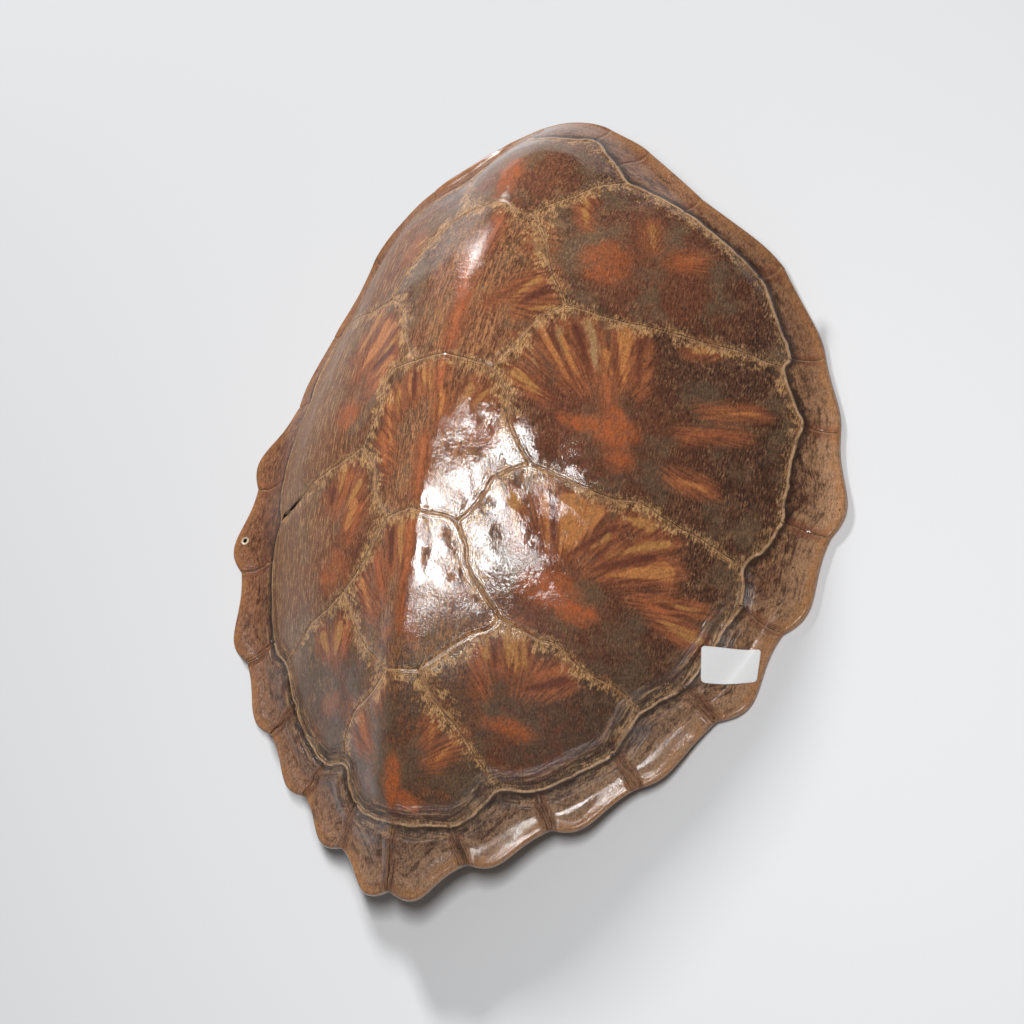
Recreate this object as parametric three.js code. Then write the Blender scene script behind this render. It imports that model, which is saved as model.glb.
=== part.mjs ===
// Sea turtle carapace, the upper shell of a green turtle, lying dome up on the edge of its rim.
// Millimetres. +Y is the head end, +X the animal's right, and z = 0 the plane the rim rests on.

import * as THREE from "three";
import { mergeVertices } from "three/addons/utils/BufferGeometryUtils.js";

// ---- Driving dimensions ----

const CROWN_HEIGHT = 126;

// Smooth plan radius of the rim by angle from the head, in degrees.
const REACH = [
  [0, 223],
  [25, 193],
  [50, 199],
  [75, 194],
  [100, 198],
  [125, 205],
  [145, 220],
  [160, 234],
  [172, 255],
  [180, 277],
];

// Height of the lip's upper side by the same angle: arched over the neck and the tail, low at the flanks.
const LIP_HEIGHT = [
  [0, 60],
  [25, 57],
  [60, 5],
  [120, 5],
  [150, 20],
  [180, 41],
];

// Rise of the dome above the lip, as a share of the crown's, by share of the reach.
const DOME = {
  head: [[0, 1], [0.2, 0.975], [0.4, 0.91], [0.6, 0.745], [0.75, 0.58], [0.88, 0.31], [1, 0]],
  side: [[0, 1], [0.2, 0.945], [0.4, 0.79], [0.6, 0.56], [0.75, 0.31], [0.88, 0.09], [0.96, 0], [1, 0]],
  tail: [[0, 1], [0.2, 0.94], [0.4, 0.79], [0.6, 0.575], [0.75, 0.35], [0.88, 0.14], [1, 0]],
};
const HEADWARD_RISE = 0.33; // lifts the dome ahead of the middle and lowers it behind

// Ridge along the midline: its height by distance towards the head, and its half width.
const RIDGE_HEIGHT = [
  [-260, 5],
  [-160, 9],
  [-60, 11],
  [60, 12],
  [160, 9],
  [220, 0],
];
const RIDGE = { halfWidth: 75, fadeShare: 0.2 };

// Where the seams between the marginal scutes meet the rim, head to tail, as [x, y], and how far
// each marginal bulges beyond the line to the next seam.
const RIGHT_NOTCHES = [
  [24, 211, 1],
  [52, 197, 0],
  [92, 168, 2],
  [140, 140, 2],
  [171, 90, 2],
  [190, 43, 8],
  [198, -21, 8],
  [182, -82, 10],
  [156, -138, 5],
  [122, -185, 7],
  [81, -218, 7],
  [40, -247, 10],
];
const LEFT_NOTCHES = [
  [-22, 212, 1],
  [-52, 199, 0],
  [-94, 170, 2],
  [-146, 138, 2],
  [-170, 87, 2],
  [-180, 36, 9],
  [-194, -22, 9],
  [-188, -79, 9],
  [-163, -138, 7],
  [-124, -184, 7],
  [-83, -220, 8],
  [-43, -249, 10],
];
const TAIL_NOTCH = [-2, -270];
const NUCHAL_BULGE = 3;
const BULGE_SKEW = 1.4; // over 1 pushes a scallop's crest towards the tail

// Wall, and the relief on its hollow side.
const WALL = { lip: 5, dome: 8, taper: 0.15 };
const SPINE = { depth: 9, halfWidth: 13 };
const RIBS = { depth: 3, pitch: 42, start: 0.12, end: 0.8, fade: 0.12 };

// Blank paper label on the right rear margin: its size as seen from above, about 35 by 21 along the slope.
const LABEL = { width: 30, height: 19.5, thickness: 0.5, gap: 1.2, x: 159, y: -106, turn: 12 };

// Facets.
const STEPS_PER_MARGINAL = 4;
const DOME_SHARES = [0, 0.06, 0.13, 0.21, 0.3, 0.39, 0.48, 0.57, 0.65, 0.72, 0.78, 0.83, 0.87, 0.905, 0.94, 0.97];
const LIP_PROFILE = [[0.995, 1], [1, 0.75], [1, 0.25], [0.995, 0]];
const LABEL_STEPS = [9, 5];
const TINY = 1e-6;

// ---- Formulas ----

// Smooth curve through knots [position, value] that never overshoots them.
function along(knots, position) {
  const last = knots.length - 1;
  const at = THREE.MathUtils.clamp(position, knots[0][0], knots[last][0]);
  const slopes = knots.slice(1).map((knot, i) => (knot[1] - knots[i][1]) / (knot[0] - knots[i][0]));
  const tangent = (i) => {
    if (i === 0 || i === last || slopes[i - 1] * slopes[i] <= 0) return 0;
    return (2 * slopes[i - 1] * slopes[i]) / (slopes[i - 1] + slopes[i]);
  };
  const i = Math.min(knots.findLastIndex((knot) => knot[0] <= at), last - 1);
  const span = knots[i + 1][0] - knots[i][0];
  const s = (at - knots[i][0]) / span;
  const rise = knots[i][1] + (knots[i + 1][1] - knots[i][1]) * s * s * (3 - 2 * s);
  return rise + span * s * (1 - s) * (tangent(i) * (1 - s) - tangent(i + 1) * s);
}

function planAngle(x, y) {
  return THREE.MathUtils.radToDeg(Math.abs(Math.atan2(x, y)));
}

function reachShare(x, y) {
  return Math.hypot(x, y) / along(REACH, planAngle(x, y));
}

// Height of the outer surface over a plan point.
function outerHeight(x, y) {
  const share = Math.min(reachShare(x, y), 1);
  const lip = along(LIP_HEIGHT, planAngle(x, y));
  const length = Math.max(Math.hypot(x, y), TINY);
  const lengthwise = y / length;
  const crosswise = x / length;
  const end = lengthwise > 0 ? DOME.head : DOME.tail;
  const even = lengthwise ** 2 * along(end, share) + crosswise ** 2 * along(DOME.side, share);
  const dome = length > TINY ? even + HEADWARD_RISE * lengthwise * share * (1 - share) ** 2 : 1;
  const crest = Math.max(1 - Math.abs(x) / RIDGE.halfWidth, 0) ** 2;
  const fade = Math.min((1 - share) / RIDGE.fadeShare, 1);
  return lip + (CROWN_HEIGHT - lip) * dome + along(RIDGE_HEIGHT, y) * crest * fade;
}

// Height of the hollow side under the same point.
function innerHeight(x, y) {
  const share = Math.min(reachShare(x, y), 1);
  const wall = THREE.MathUtils.lerp(WALL.lip, WALL.dome, Math.min((1 - share) / WALL.taper, 1));
  const inside = THREE.MathUtils.smoothstep(RIBS.end - share, 0, RIBS.fade);
  const spine = SPINE.depth * Math.exp(-((x / SPINE.halfWidth) ** 2)) * inside;
  const offSpine = THREE.MathUtils.smoothstep(share, 0, RIBS.start);
  const wave = Math.max(Math.cos((2 * Math.PI * y) / RIBS.pitch), 0) ** 2;
  return Math.max(outerHeight(x, y) - wall - spine - RIBS.depth * wave * inside * offSpine, 0);
}

// Rim outline, clockwise from above, from the tail notch up the left side, round the head and back.
function rimOutline() {
  const left = LEFT_NOTCHES.map(([x, y, bulge]) => ({ x, y, bulge, headward: true })).reverse();
  const right = RIGHT_NOTCHES.map(([x, y, bulge]) => ({ x, y, bulge, headward: false }));
  const tail = { x: TAIL_NOTCH[0], y: TAIL_NOTCH[1] };
  const stops = [{ ...tail, bulge: left[0].bulge, headward: true }];
  left.forEach((stop, i) => {
    const next = left[i + 1];
    stops.push({ ...stop, bulge: next ? next.bulge : NUCHAL_BULGE, headward: Boolean(next) });
  });
  stops.push(...right, tail);
  const outline = [];
  for (let i = 0; i + 1 < stops.length; i++) {
    const from = stops[i];
    const to = stops[i + 1];
    const run = Math.hypot(to.x - from.x, to.y - from.y);
    for (let step = 0; step < STEPS_PER_MARGINAL; step++) {
      const t = step / STEPS_PER_MARGINAL;
      const tailward = from.headward ? 1 - t : t;
      const out = from.bulge * Math.sin(Math.PI * tailward ** BULGE_SKEW);
      outline.push([
        from.x + (to.x - from.x) * t - (out * (to.y - from.y)) / run,
        from.y + (to.y - from.y) * t + (out * (to.x - from.x)) / run,
      ]);
    }
  }
  return outline;
}

// ---- Pieces ----

// A lathe of unit reach whose levels 0 and 1 are the hollow and the outer side, carried onto the
// rim's outline and the two height formulas.
function carapaceGeometry() {
  const outline = rimOutline();
  const profile = [
    ...DOME_SHARES.map((share) => [share, 1]),
    ...LIP_PROFILE,
    ...DOME_SHARES.map((share) => [share, 0]).reverse(),
  ];
  const points = profile.map(([share, level]) => new THREE.Vector2(share, level));
  const geometry = new THREE.LatheGeometry(points, outline.length);
  const position = geometry.getAttribute("position");
  for (let i = 0; i < position.count; i++) {
    const segment = Math.floor(i / points.length) % outline.length;
    const [share, level] = profile[i % points.length];
    const x = outline[segment][0] * share;
    const y = outline[segment][1] * share;
    position.setXYZ(i, x, y, THREE.MathUtils.lerp(innerHeight(x, y), outerHeight(x, y), level));
  }
  geometry.deleteAttribute("normal");
  geometry.deleteAttribute("uv");
  const closed = mergeVertices(geometry, 1e-3);
  closed.computeVertexNormals();
  return closed;
}

// A thin rectangle bent to lie just clear of the outer surface.
function labelGeometry() {
  const [across, up] = LABEL_STEPS;
  const geometry = new THREE.BoxGeometry(LABEL.width, LABEL.height, LABEL.thickness, across, up, 1);
  geometry.rotateZ(THREE.MathUtils.degToRad(LABEL.turn));
  geometry.translate(LABEL.x, LABEL.y, LABEL.gap + LABEL.thickness / 2);
  const position = geometry.getAttribute("position");
  for (let i = 0; i < position.count; i++) {
    position.setZ(i, position.getZ(i) + outerHeight(position.getX(i), position.getY(i)));
  }
  return geometry;
}

function mesh(name, geometry, material) {
  const made = new THREE.Mesh(geometry, new THREE.MeshStandardMaterial(material));
  made.name = name;
  return made;
}

const carapace = mesh("carapace", carapaceGeometry(), { color: 0x7a4a2a, roughness: 0.3, metalness: 0 });
const paperLabel = mesh("paper_label", labelGeometry(), { color: 0xf3f2ee, roughness: 0.6, metalness: 0 });

// The origin moves from the crown's axis to the middle of the shell's own box.
const turtleShell = new THREE.Group();
turtleShell.add(carapace, paperLabel);
const middle = new THREE.Box3().setFromObject(carapace).getCenter(new THREE.Vector3());
turtleShell.position.set(-middle.x, -middle.y, 0);

export default turtleShell;
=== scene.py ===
"""Sea turtle shell: the varnished carapace of a green turtle, lying dome up, with a blank paper label."""

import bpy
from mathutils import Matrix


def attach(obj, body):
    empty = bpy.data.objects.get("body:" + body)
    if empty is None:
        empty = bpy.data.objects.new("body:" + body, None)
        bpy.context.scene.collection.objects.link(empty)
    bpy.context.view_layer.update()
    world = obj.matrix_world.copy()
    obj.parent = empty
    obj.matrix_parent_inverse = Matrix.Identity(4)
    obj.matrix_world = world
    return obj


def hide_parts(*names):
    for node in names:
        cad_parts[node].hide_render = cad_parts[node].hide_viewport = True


bl_info = {
    "name": "Sea Turtle Shell",
    "version": (1, 0, 0),
    "blender": (4, 5, 0),
    "location": "3D View > Sidebar > Turtle Shell",
    "description": "Models a sea turtle's upper shell with its horny scutes",
    "category": "Add Mesh",
}

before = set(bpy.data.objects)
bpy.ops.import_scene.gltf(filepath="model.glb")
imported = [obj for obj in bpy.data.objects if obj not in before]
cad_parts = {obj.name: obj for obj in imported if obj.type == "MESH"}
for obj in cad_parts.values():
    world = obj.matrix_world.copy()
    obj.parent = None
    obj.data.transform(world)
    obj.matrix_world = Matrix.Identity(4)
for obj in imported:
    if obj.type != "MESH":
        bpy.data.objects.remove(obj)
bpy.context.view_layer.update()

import math
from functools import partial

import bpy
import numpy as np
from mathutils import Quaternion, Vector, kdtree, noise
from mathutils.geometry import delaunay_2d_cdt

MM = 0.001

# ---- Shape of the shell, in millimetres about the crown's axis: +Y to the head, +X the animal's right ----

PLAN_SHIFT = np.array([-1.77, 29.07])  # from the crown's axis to the middle of the shell's box
CROWN_HEIGHT = 126

# Smooth plan radius of the rim, and height of the lip, by angle from the head in degrees.
REACH = [
    (0, 223), (25, 193), (50, 199), (75, 194), (100, 198), (125, 205), (145, 220), (160, 234), (172, 255),
    (180, 277),
]
LIP_HEIGHT = [(0, 60), (25, 57), (60, 5), (120, 5), (150, 20), (180, 41)]

# Rise of the dome above the lip, as a share of the crown's, by share of the reach.
DOME_HEAD = [(0, 1), (0.2, 0.975), (0.4, 0.91), (0.6, 0.745), (0.75, 0.58), (0.88, 0.31), (1, 0)]
DOME_SIDE = [(0, 1), (0.2, 0.945), (0.4, 0.79), (0.6, 0.56), (0.75, 0.31), (0.88, 0.09), (0.96, 0), (1, 0)]
DOME_TAIL = [(0, 1), (0.2, 0.94), (0.4, 0.79), (0.6, 0.575), (0.75, 0.35), (0.88, 0.14), (1, 0)]
HEADWARD_RISE = 0.33

# Ridge along the midline, by distance towards the head.
RIDGE_HEIGHT = [(-260, 5), (-160, 9), (-60, 11), (60, 12), (160, 9), (220, 0)]
RIDGE_HALF_WIDTH = 75
RIDGE_FADE = 0.2
RIDGE_ROUNDING = 7  # half width over which the keel is rounded
TAIL_ROUNDING = 2.5  # the same on the last two vertebral scutes

# Where the seams between the marginal scutes meet the rim, head to tail, and how far each marginal bulges.
RIGHT_NOTCHES = [
    (24, 211, 1), (52, 197, 0), (92, 168, 2), (140, 140, 2), (171, 90, 2), (190, 43, 8), (198, -21, 8),
    (182, -82, 10), (156, -138, 5), (122, -185, 7), (81, -218, 7), (40, -247, 10),
]
LEFT_NOTCHES = [
    (-22, 212, 1), (-52, 199, 0), (-94, 170, 2), (-146, 138, 2), (-170, 87, 2), (-180, 36, 9),
    (-194, -22, 9), (-188, -79, 9), (-163, -138, 7), (-124, -184, 7), (-83, -220, 8), (-43, -249, 10),
]
TAIL_NOTCH = (-2, -270)
NUCHAL_BULGE = 3
BULGE_SKEW = 2

# Wall, and the backbone and ribs on its hollow side.
WALL_LIP = 5
WALL_DOME = 8
WALL_TAPER = 0.15
SPINE_DEPTH = 9
SPINE_HALF_WIDTH = 13
RIB_DEPTH = 3
RIB_PITCH = 42
RIB_START = 0.12
RIB_END = 0.8
RIB_FADE = 0.12
LIP_ROUND = 1.5

# Seam that parts the marginal scutes from the rest, from the nuchal to the tail on either side.
MARGIN_RIGHT = [
    (3, 189), (13, 190), (24, 194), (34, 184), (44, 175), (54, 164), (65, 161), (88, 153), (106, 144),
    (116, 138), (131, 127), (139, 114), (149, 95), (155, 83), (154, 76), (157, 68), (165, 52), (169, 43),
    (169, 30), (171, -3), (172, -18), (167, -36), (159, -51), (160, -62), (159, -73), (154, -84),
    (145, -106), (137, -124), (119, -144), (108, -168), (96, -180), (71, -199), (53, -204), (45, -215),
    (34, -226), (15, -233), (0, -235),
]
MARGIN_LEFT = [
    (3, 189), (-12, 190), (-24, 194), (-34, 184), (-44, 175), (-54, 164), (-65, 161), (-88, 153),
    (-106, 145), (-118, 138), (-133, 128), (-144, 112), (-154, 97), (-158, 86), (-160, 72), (-163, 50),
    (-160, 33), (-161, 12), (-161, -22), (-156, -39), (-150, -52), (-155, -62), (-156, -73), (-153, -92),
    (-142, -125), (-118, -144), (-105, -166), (-90, -185), (-68, -201), (-48, -203), (-41, -217),
    (-30, -228), (-10, -233), (0, -235),
]

# Seams between the five vertebral scutes, the costals beside them and each other.
INNER_SEAMS = [
    # right side, zigzag from the margin at the head to the margin at the tail
    [(54, 164), (45, 156), (39, 146), (34, 140), (25, 131), (19, 122)],
    [(19, 122), (28, 110), (36, 96), (42, 84), (54, 66)],
    [(54, 66), (48, 60), (43, 53), (38, 43), (33, 31), (27, 18)],
    [(27, 18), (36, 5), (40, -7), (44, -17), (55, -31)],
    [(55, -31), (43, -39), (37, -45), (33, -54), (23, -72)],
    [(23, -72), (28, -82), (31, -94), (40, -106), (49, -117)],
    [(49, -117), (44, -124), (33, -132), (22, -143), (12, -155)],
    [(12, -155), (18, -165), (29, -176), (37, -184), (42, -191), (53, -204)],
    # left side
    [(-54, 164), (-45, 156), (-37, 141), (-25, 132), (-14, 126)],
    [(-14, 126), (-28, 123), (-43, 114), (-53, 101), (-61, 84), (-65, 67)],
    [(-65, 67), (-52, 59), (-42, 46), (-37, 36), (-31, 26), (-24, 18)],
    [(-24, 18), (-37, 17), (-46, 11), (-45, -2), (-49, -13), (-57, -28)],
    [(-57, -28), (-43, -42), (-38, -58), (-24, -72)],
    [(-24, -72), (-31, -79), (-37, -88), (-45, -99), (-57, -110)],
    [(-57, -110), (-48, -121), (-40, -133), (-25, -146), (-9, -156)],
    [(-9, -156), (-19, -166), (-30, -172), (-38, -177), (-45, -186), (-48, -203)],
    # across the keel
    [(-14, 126), (-4, 128), (5, 125), (12, 121), (19, 122)],
    [(-24, 18), (-8, 21), (2, 21), (10, 20), (20, 19), (27, 18)],
    [(-24, -72), (-6, -69), (6, -70), (15, -70), (23, -72)],
    [(-9, -156), (1, -157), (12, -155)],
    # between costals
    [(54, 66), (80, 65), (98, 68), (112, 70), (125, 72), (140, 74), (154, 76)],
    [(55, -31), (70, -34), (87, -37), (101, -38), (111, -36), (125, -41), (142, -45), (159, -51)],
    [(49, -117), (68, -122), (80, -123), (86, -128), (99, -134), (109, -136), (119, -144)],
    [(-65, 67), (-84, 66), (-102, 70), (-136, 82), (-158, 86)],
    [(-57, -28), (-80, -36), (-103, -41), (-118, -47), (-150, -52)],
    [(-57, -110), (-70, -118), (-89, -125), (-98, -132), (-118, -144)],
]

# Inner ends of the seams between marginals, in the order of the notches.
RIGHT_MARGINAL_ENDS = [
    (24, 194), (44, 175), (88, 153), (131, 127), (155, 83), (169, 43), (172, -18), (159, -73),
    (137, -124), (108, -168), (71, -199), (30, -229),
]
LEFT_MARGINAL_ENDS = [
    (-24, 194), (-44, 175), (-88, 153), (-133, 128), (-158, 86), (-160, 33), (-161, -22), (-156, -73),
    (-142, -125), (-105, -166), (-68, -201), (-35, -224),
]

# Growth centre of each vertebral and costal scute.
GROWTH_CENTRES = {
    "vertebral_1": (-8, 152), "vertebral_2": (0, 54), "vertebral_3": (4, -58), "vertebral_4": (-2, -139),
    "vertebral_5": (1, -211),
    "right_costal_1": (85, 105), "right_costal_2": (88, -2), "right_costal_3": (76, -99),
    "right_costal_4": (56, -173),
    "left_costal_1": (-62, 103), "left_costal_2": (-72, -9), "left_costal_3": (-74, -91),
    "left_costal_4": (-62, -166),
}

# Rays in the clear horn: tip, end at the seam, half width at each, and tint. Millimetres on the plan.
RAYS = [
    # right costal 2
    (51, 22, 40, 36, 0.5, 1.1, "pale"), (55, 8, 41, 16, 1.7, 3, "gold"),
    (67, 18, 46, 48, 0.8, 2, "amber"), (73, 18, 55, 48, 0.8, 2.1, "amber"),
    (64, 32, 55, 48, 1.3, 2.2, "pale"), (77, 39, 67, 57, 2.1, 2.7, "pale"),
    (79, 29, 74, 40, 0.8, 1.4, "pale"), (85, 31, 81, 41, 0.7, 1.5, "amber"),
    (92, 28, 85, 59, 2.1, 3.5, "amber"), (124, 9, 142, 19, 0.6, 1.1, "orange"),
    (130, 27, 147, 37, 0.6, 1, "amber"), (124, -17, 134, -17, 1, 1.8, "amber"),
    (116, 61, 122, 66, 1.2, 1.8, "gold"), (88, 9, 83, 27, 1.6, 1, "orange"),
    # right costal 3
    (55, -76, 49, -53, 1, 3.4, "gold"), (70, -76, 64, -49, 0.5, 2.2, "amber"),
    (75, -77, 79, -46, 1, 7, "amber"), (77, -77, 90, -48, 1, 4.5, "amber"),
    (89, -69, 96, -61, 0.5, 1.2, "gold"), (98, -70, 123, -54, 0.6, 2.1, "gold"),
    (98, -80, 125, -68, 0.8, 4.4, "amber"), (105, -47, 115, -47, 2.2, 3.3, "gold"),
    (113, -86, 123, -88, 0.8, 1.7, "orange"), (123, -94, 140, -97, 1.1, 3.1, "gold"),
    (125, -84, 138, -83, 0.6, 1, "gold"),
    # right costal 4
    (45, -141, 43, -131, 1.8, 2.3, "gold"), (56, -142, 53, -124, 1.6, 2, "gold"),
    (60, -145, 57, -124, 1.4, 2, "gold"), (64, -141, 61, -124, 1.4, 2, "gold"),
    (66, -144, 81, -134, 1.2, 1.8, "orange"), (43, -156, 40, -135, 0.5, 1, "orange"),
    # vertebral 2
    (27, 61, 36, 77, 0.9, 1.9, "gold"), (32, 53, 45, 61, 0.4, 1.5, "gold"),
    (35, 89, 27, 109, 2.6, 3.6, "pale"), (5, 91, 4, 112, 1.1, 2, "orange"),
    (1, 24, 0, 46, 1.2, 2.6, "orange"), (2, 51, -4, 80, 2, 2.1, "orange"),
    # vertebral 3
    (-20, -7, -24, 7, 0.8, 1.2, "amber"), (-10, 0, -13, 9, 0.8, 1.6, "gold"),
    (-5, -3, -8, 11, 0.8, 1.1, "gold"), (1, -4, -1, 13, 1.1, 2.7, "orange"),
    (5, -20, 3, -4, 1.6, 1.9, "amber"), (12, -14, 17, 1, 1.6, 2.6, "gold"),
    (17, -13, 26, 2, 0.5, 1.1, "gold"), (24, -20, 31, -10, 0.5, 0.9, "pale"),
    (30, -26, 40, -16, 0.4, 2.4, "gold"), (-28, -14, -31, -2, 0.8, 1.6, "gold"),
    (-28, -40, -39, -4, 0.8, 1.6, "amber"), (0, -64, -3, -32, 1.4, 2.6, "orange"),
    (-31, -46, -38, -27, 1.6, 3.2, "orange"),
    # vertebral 4
    (-1, -113, -1, -80, 1.4, 2.8, "orange"), (-6, -101, -10, -78, 1.5, 2.6, "gold"),
    (1, -134, 0, -120, 0.6, 1, "orange"), (-26, -127, -39, -108, 1.1, 2.3, "amber"),
    (-17, -119, -27, -96, 1.2, 2.1, "orange"),
    # vertebral 5
    (-15, -175, -15, -167, 1.5, 3, "gold"), (-21, -198, -31, -180, 1.8, 3.9, "orange"),
    (19, -191, 20, -183, 0.6, 1.1, "amber"), (21, -200, 31, -186, 0.6, 1.1, "amber"),
    # left costal 2
    (-86, 34, -74, 57, 1.4, 3, "gold"), (-77, 19, -62, 49, 1.6, 3.4, "amber"),
    (-72, 24, -54, 45, 1.5, 2.6, "amber"), (-62, 24, -49, 35, 1, 1.6, "gold"),
    (-62, 13, -48, 22, 1, 2.2, "amber"), (-58, 5, -50, 13, 1.6, 3.6, "orange"),
    # left costal 3
    (-73, -53, -71, -41, 1.5, 2.5, "gold"), (-73, -64, -64, -45, 1.6, 2.6, "orange"),
    (-62, -62, -55, -51, 1.6, 2.6, "gold"), (-61, -78, -57, -63, 2.4, 4, "amber"),
    (-56, -81, -50, -65, 1.5, 2, "orange"),
    # left costal 4
    (-66, -145, -73, -135, 0.8, 4, "gold"), (-60, -146, -57, -131, 1.8, 3.6, "gold"),
    (-52, -143, -50, -130, 1.6, 2.5, "orange"),
    # right costal 1
    (49, 121, 43, 137, 1, 1.8, "gold"), (85, 117, 81, 130, 1, 1.4, "gold"),
    (95, 112, 104, 119, 2.5, 3.3, "orange"),
]

# Dark rays between them: tip, end and half widths.
SHADOW_RAYS = [
    (60, 34, 50, 47, 0.8, 1.6), (77, 25, 63, 51, 1, 1.8), (99, 27, 94, 54, 0.7, 1.4),
    (73, -76, 68, -45, 1, 1.6), (77, -77, 99, -55, 0.9, 1.4), (90, -80, 117, -64, 1.2, 1.9),
    (49, -143, 47, -128, 1, 1.5), (62, -151, 81, -141, 1.2, 2.1), (-17, -7, -21, 8, 2, 2.5),
    (-14, -103, -18, -80, 1.8, 2.7), (-29, -195, -39, -178, 1.3, 2.2), (-65, 19, -50, 29, 1.7, 2.8),
    (-79, -60, -79, -53, 1.6, 2.6), (31, 59, 43, 72, 1.2, 2.8), (16, 56, 38, 82, 0.3, 0.5),
]

# Orange blots: centre, half sizes across and along, and strength.
BLOTS = [
    (92, -1, 11.5, 10.5, 1), (75, -3, 11, 4, 0.9), (98, -14, 6.5, 8, 0.8), (73, -96, 13.5, 9.5, 1),
    (84, -103, 10, 7, 1), (55, -172, 12, 4.5, 0.7), (-6, 148, 8, 14, 1), (0, 57, 4.5, 9, 0.9),
    (0, -214, 5.5, 13, 1), (8, -223, 5.5, 5, 0.9), (-11, -137, 4.5, 3.5, 0.6), (7, -136, 3, 4.5, 0.4),
    (-76, -6, 10, 7.5, 0.9), (-67, -99, 12.5, 10.5, 0.7), (-60, -170, 10, 6.5, 0.45),
    (66, 99, 11, 12.5, 0.7), (100, 115, 6, 5.5, 0.5), (-62, 103, 9, 12, 0.5),
]
RAY_OVERRUN = 5  # how far a ray's colour runs on past its end, in millimetres
RAY_TINTS = {"orange": 0.0, "amber": 0.33, "gold": 0.67, "pale": 1.0}

# Drilled hole in the left margin, and the gap that has opened along a left costal seam.
HOLE_PLACE = (-191, -58)
HOLE_RADIUS = 1.1
HOLE_POINTS = 14
GAP_ENDS = ((-149, -53), (-114, -46))
GAP_DEPTH = 2.6
GAP_HALF_WIDTH = 1.5
GAP_REACH = 12  # how far the seam strays from the straight line between the gap's ends

# Relief of the surface: its waves as size, seed and height, and the places and widths of its forms.
OUTER_WAVES = ((60, 2.5, 0.9), (24, 3.5, 0.4), (9, 4.5, 0.12))
HOLLOW_WAVES = ((30, 6.5, 0.8), (8, 7.5, 0.3))
SEAM_WANDER = ((9, 0, 0.9), (3.5, 5, 0.4))
BLOT_WAVES = ((9, 12.5, 0.45), (3, 13.5, 0.2))
WRAP_WAVES = ((12, 9.5, 3),)
HORN_WRAP = 16  # how far the horn wraps round the rim onto the hollow side
REAR_ANGLES = (95, 140)  # degrees from the head over which the rear rim's forms set in
CROSS_SHARE = 0.8  # how deep the seams between marginals are beside the inner seams
GROOVE_WIDTH = 0.5
WELT_PLACE, WELT_WIDTH = 1.2, 0.8
RIDGE_WIDTH = 0.7
PILLOW_REACH = 13
MARGINAL_PILLOW_REACH = 7
MARGINAL_SHARE = 0.8  # share of the reach past which the marginals lie
GUTTER_WIDTH = 6
FOLD_PLACE, FOLD_WIDTH = 9.5, 2.6
INNER_FOLD_PLACE, INNER_FOLD_WIDTH = 4, 1.2
ROLL_PLACE, ROLL_WIDTH = 4.5, 2.5
KEEL_TOP, KEEL_REACH = 1.2, 3.2
KEEL_RISE = (-70, 40)  # millimetres towards the tail over which the keel sharpens
KEEL_FADE = (0.02, 0.1)
GAP_WIDTH = 0.9
GAP_SIDE = 6
GAP_START_FADE, GAP_END_FADE = 0.1, 0.4  # shares of the gap's length
RAY_TIP_SHARE, RAY_END_LENGTH, RAY_POINTING = 0.35, 3, 0.7
BLOT_EDGE, BLOT_FADE = 1.45, 0.85
HOLLOW_FADE = (1, 14)
BARE_TILT = 0.2  # faces that look further up than this are never bare bone
LEFT_OF_KEEL = -20
SEED_STEP, SEED_RANGE = 7.31, 25

# Spacing of the surface's points.
SEAM_STEP = 1.6
SEAM_ROWS = (0.6, 1.3, 2.2, 3.4, 5.0)
KEEL_ROWS = (1.0, 2.2, 3.8)
RIM_ROWS = (1.0, 2.2, 3.6)
OUTER_SPACING = 2.0
HOLLOW_SPACING = 3.6
DENSE_STEP = 0.2
LEAST_GAP = 0.45
ROW_SLACK = 0.12
HOLE_CLEARANCE = 0.5
HOLE_GRID_CLEARANCE = 1.4
HOLE_HOLLOW_CLEARANCE = 2
KEEL_CLEARANCE = 1
RIM_CLEARANCE = 0.5
WELD = 1e-7
GRID_CLEARANCE = 1.1
HOLLOW_CLEARANCE = 2.2
KEEL_ENDS = (185, -262)
KEEL_POINTS = 260
LIP_TURNS = (30, 60, 90, 120, 150)
FAR = 60  # distances to seams are stored no larger than this
DEEP = -12  # distances outside a ray are stored no lower than this

MARGINAL_CENTRE = 0.96  # share of the way from the crown to the rim
NUCHAL_CENTRE = (0, 203)

LABEL_PLACE = (159, -106)
LABEL_STEPS = (48, 30)

# Lamps: size, place and aim in metres, and roll in degrees.
SOFTBOX = ((0.40, 0.095), (0.425, -0.18, 1.15), (0, 0, 0.1), 45)
SIDE_LIGHT = ((0.5, 0.5), (-1.90, 2.24, 1.75), (0, 0, 0.05), 0)
FLOOR_SIZE = 12

# Camera on the shell: bearing, elevation and roll in degrees, distance and aim in millimetres.
CAMERA_AZIMUTH = 56.96
CAMERA_ELEVATION = 55.89
CAMERA_ROLL = -46.93
CAMERA_DISTANCE = 1442.3
CAMERA_AIM = (28.06, -17.85, 70)
CAMERA_LENS = 87.98


def linear(code, alpha=1.0):
    """Linear colour of an sRGB hex value."""
    parts = [int(code[i:i + 2], 16) / 255 for i in (1, 3, 5)]
    return (*[p / 12.92 if p <= 0.04045 else ((p + 0.055) / 1.055) ** 2.4 for p in parts], alpha)


# ---- Height formulas ----


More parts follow.
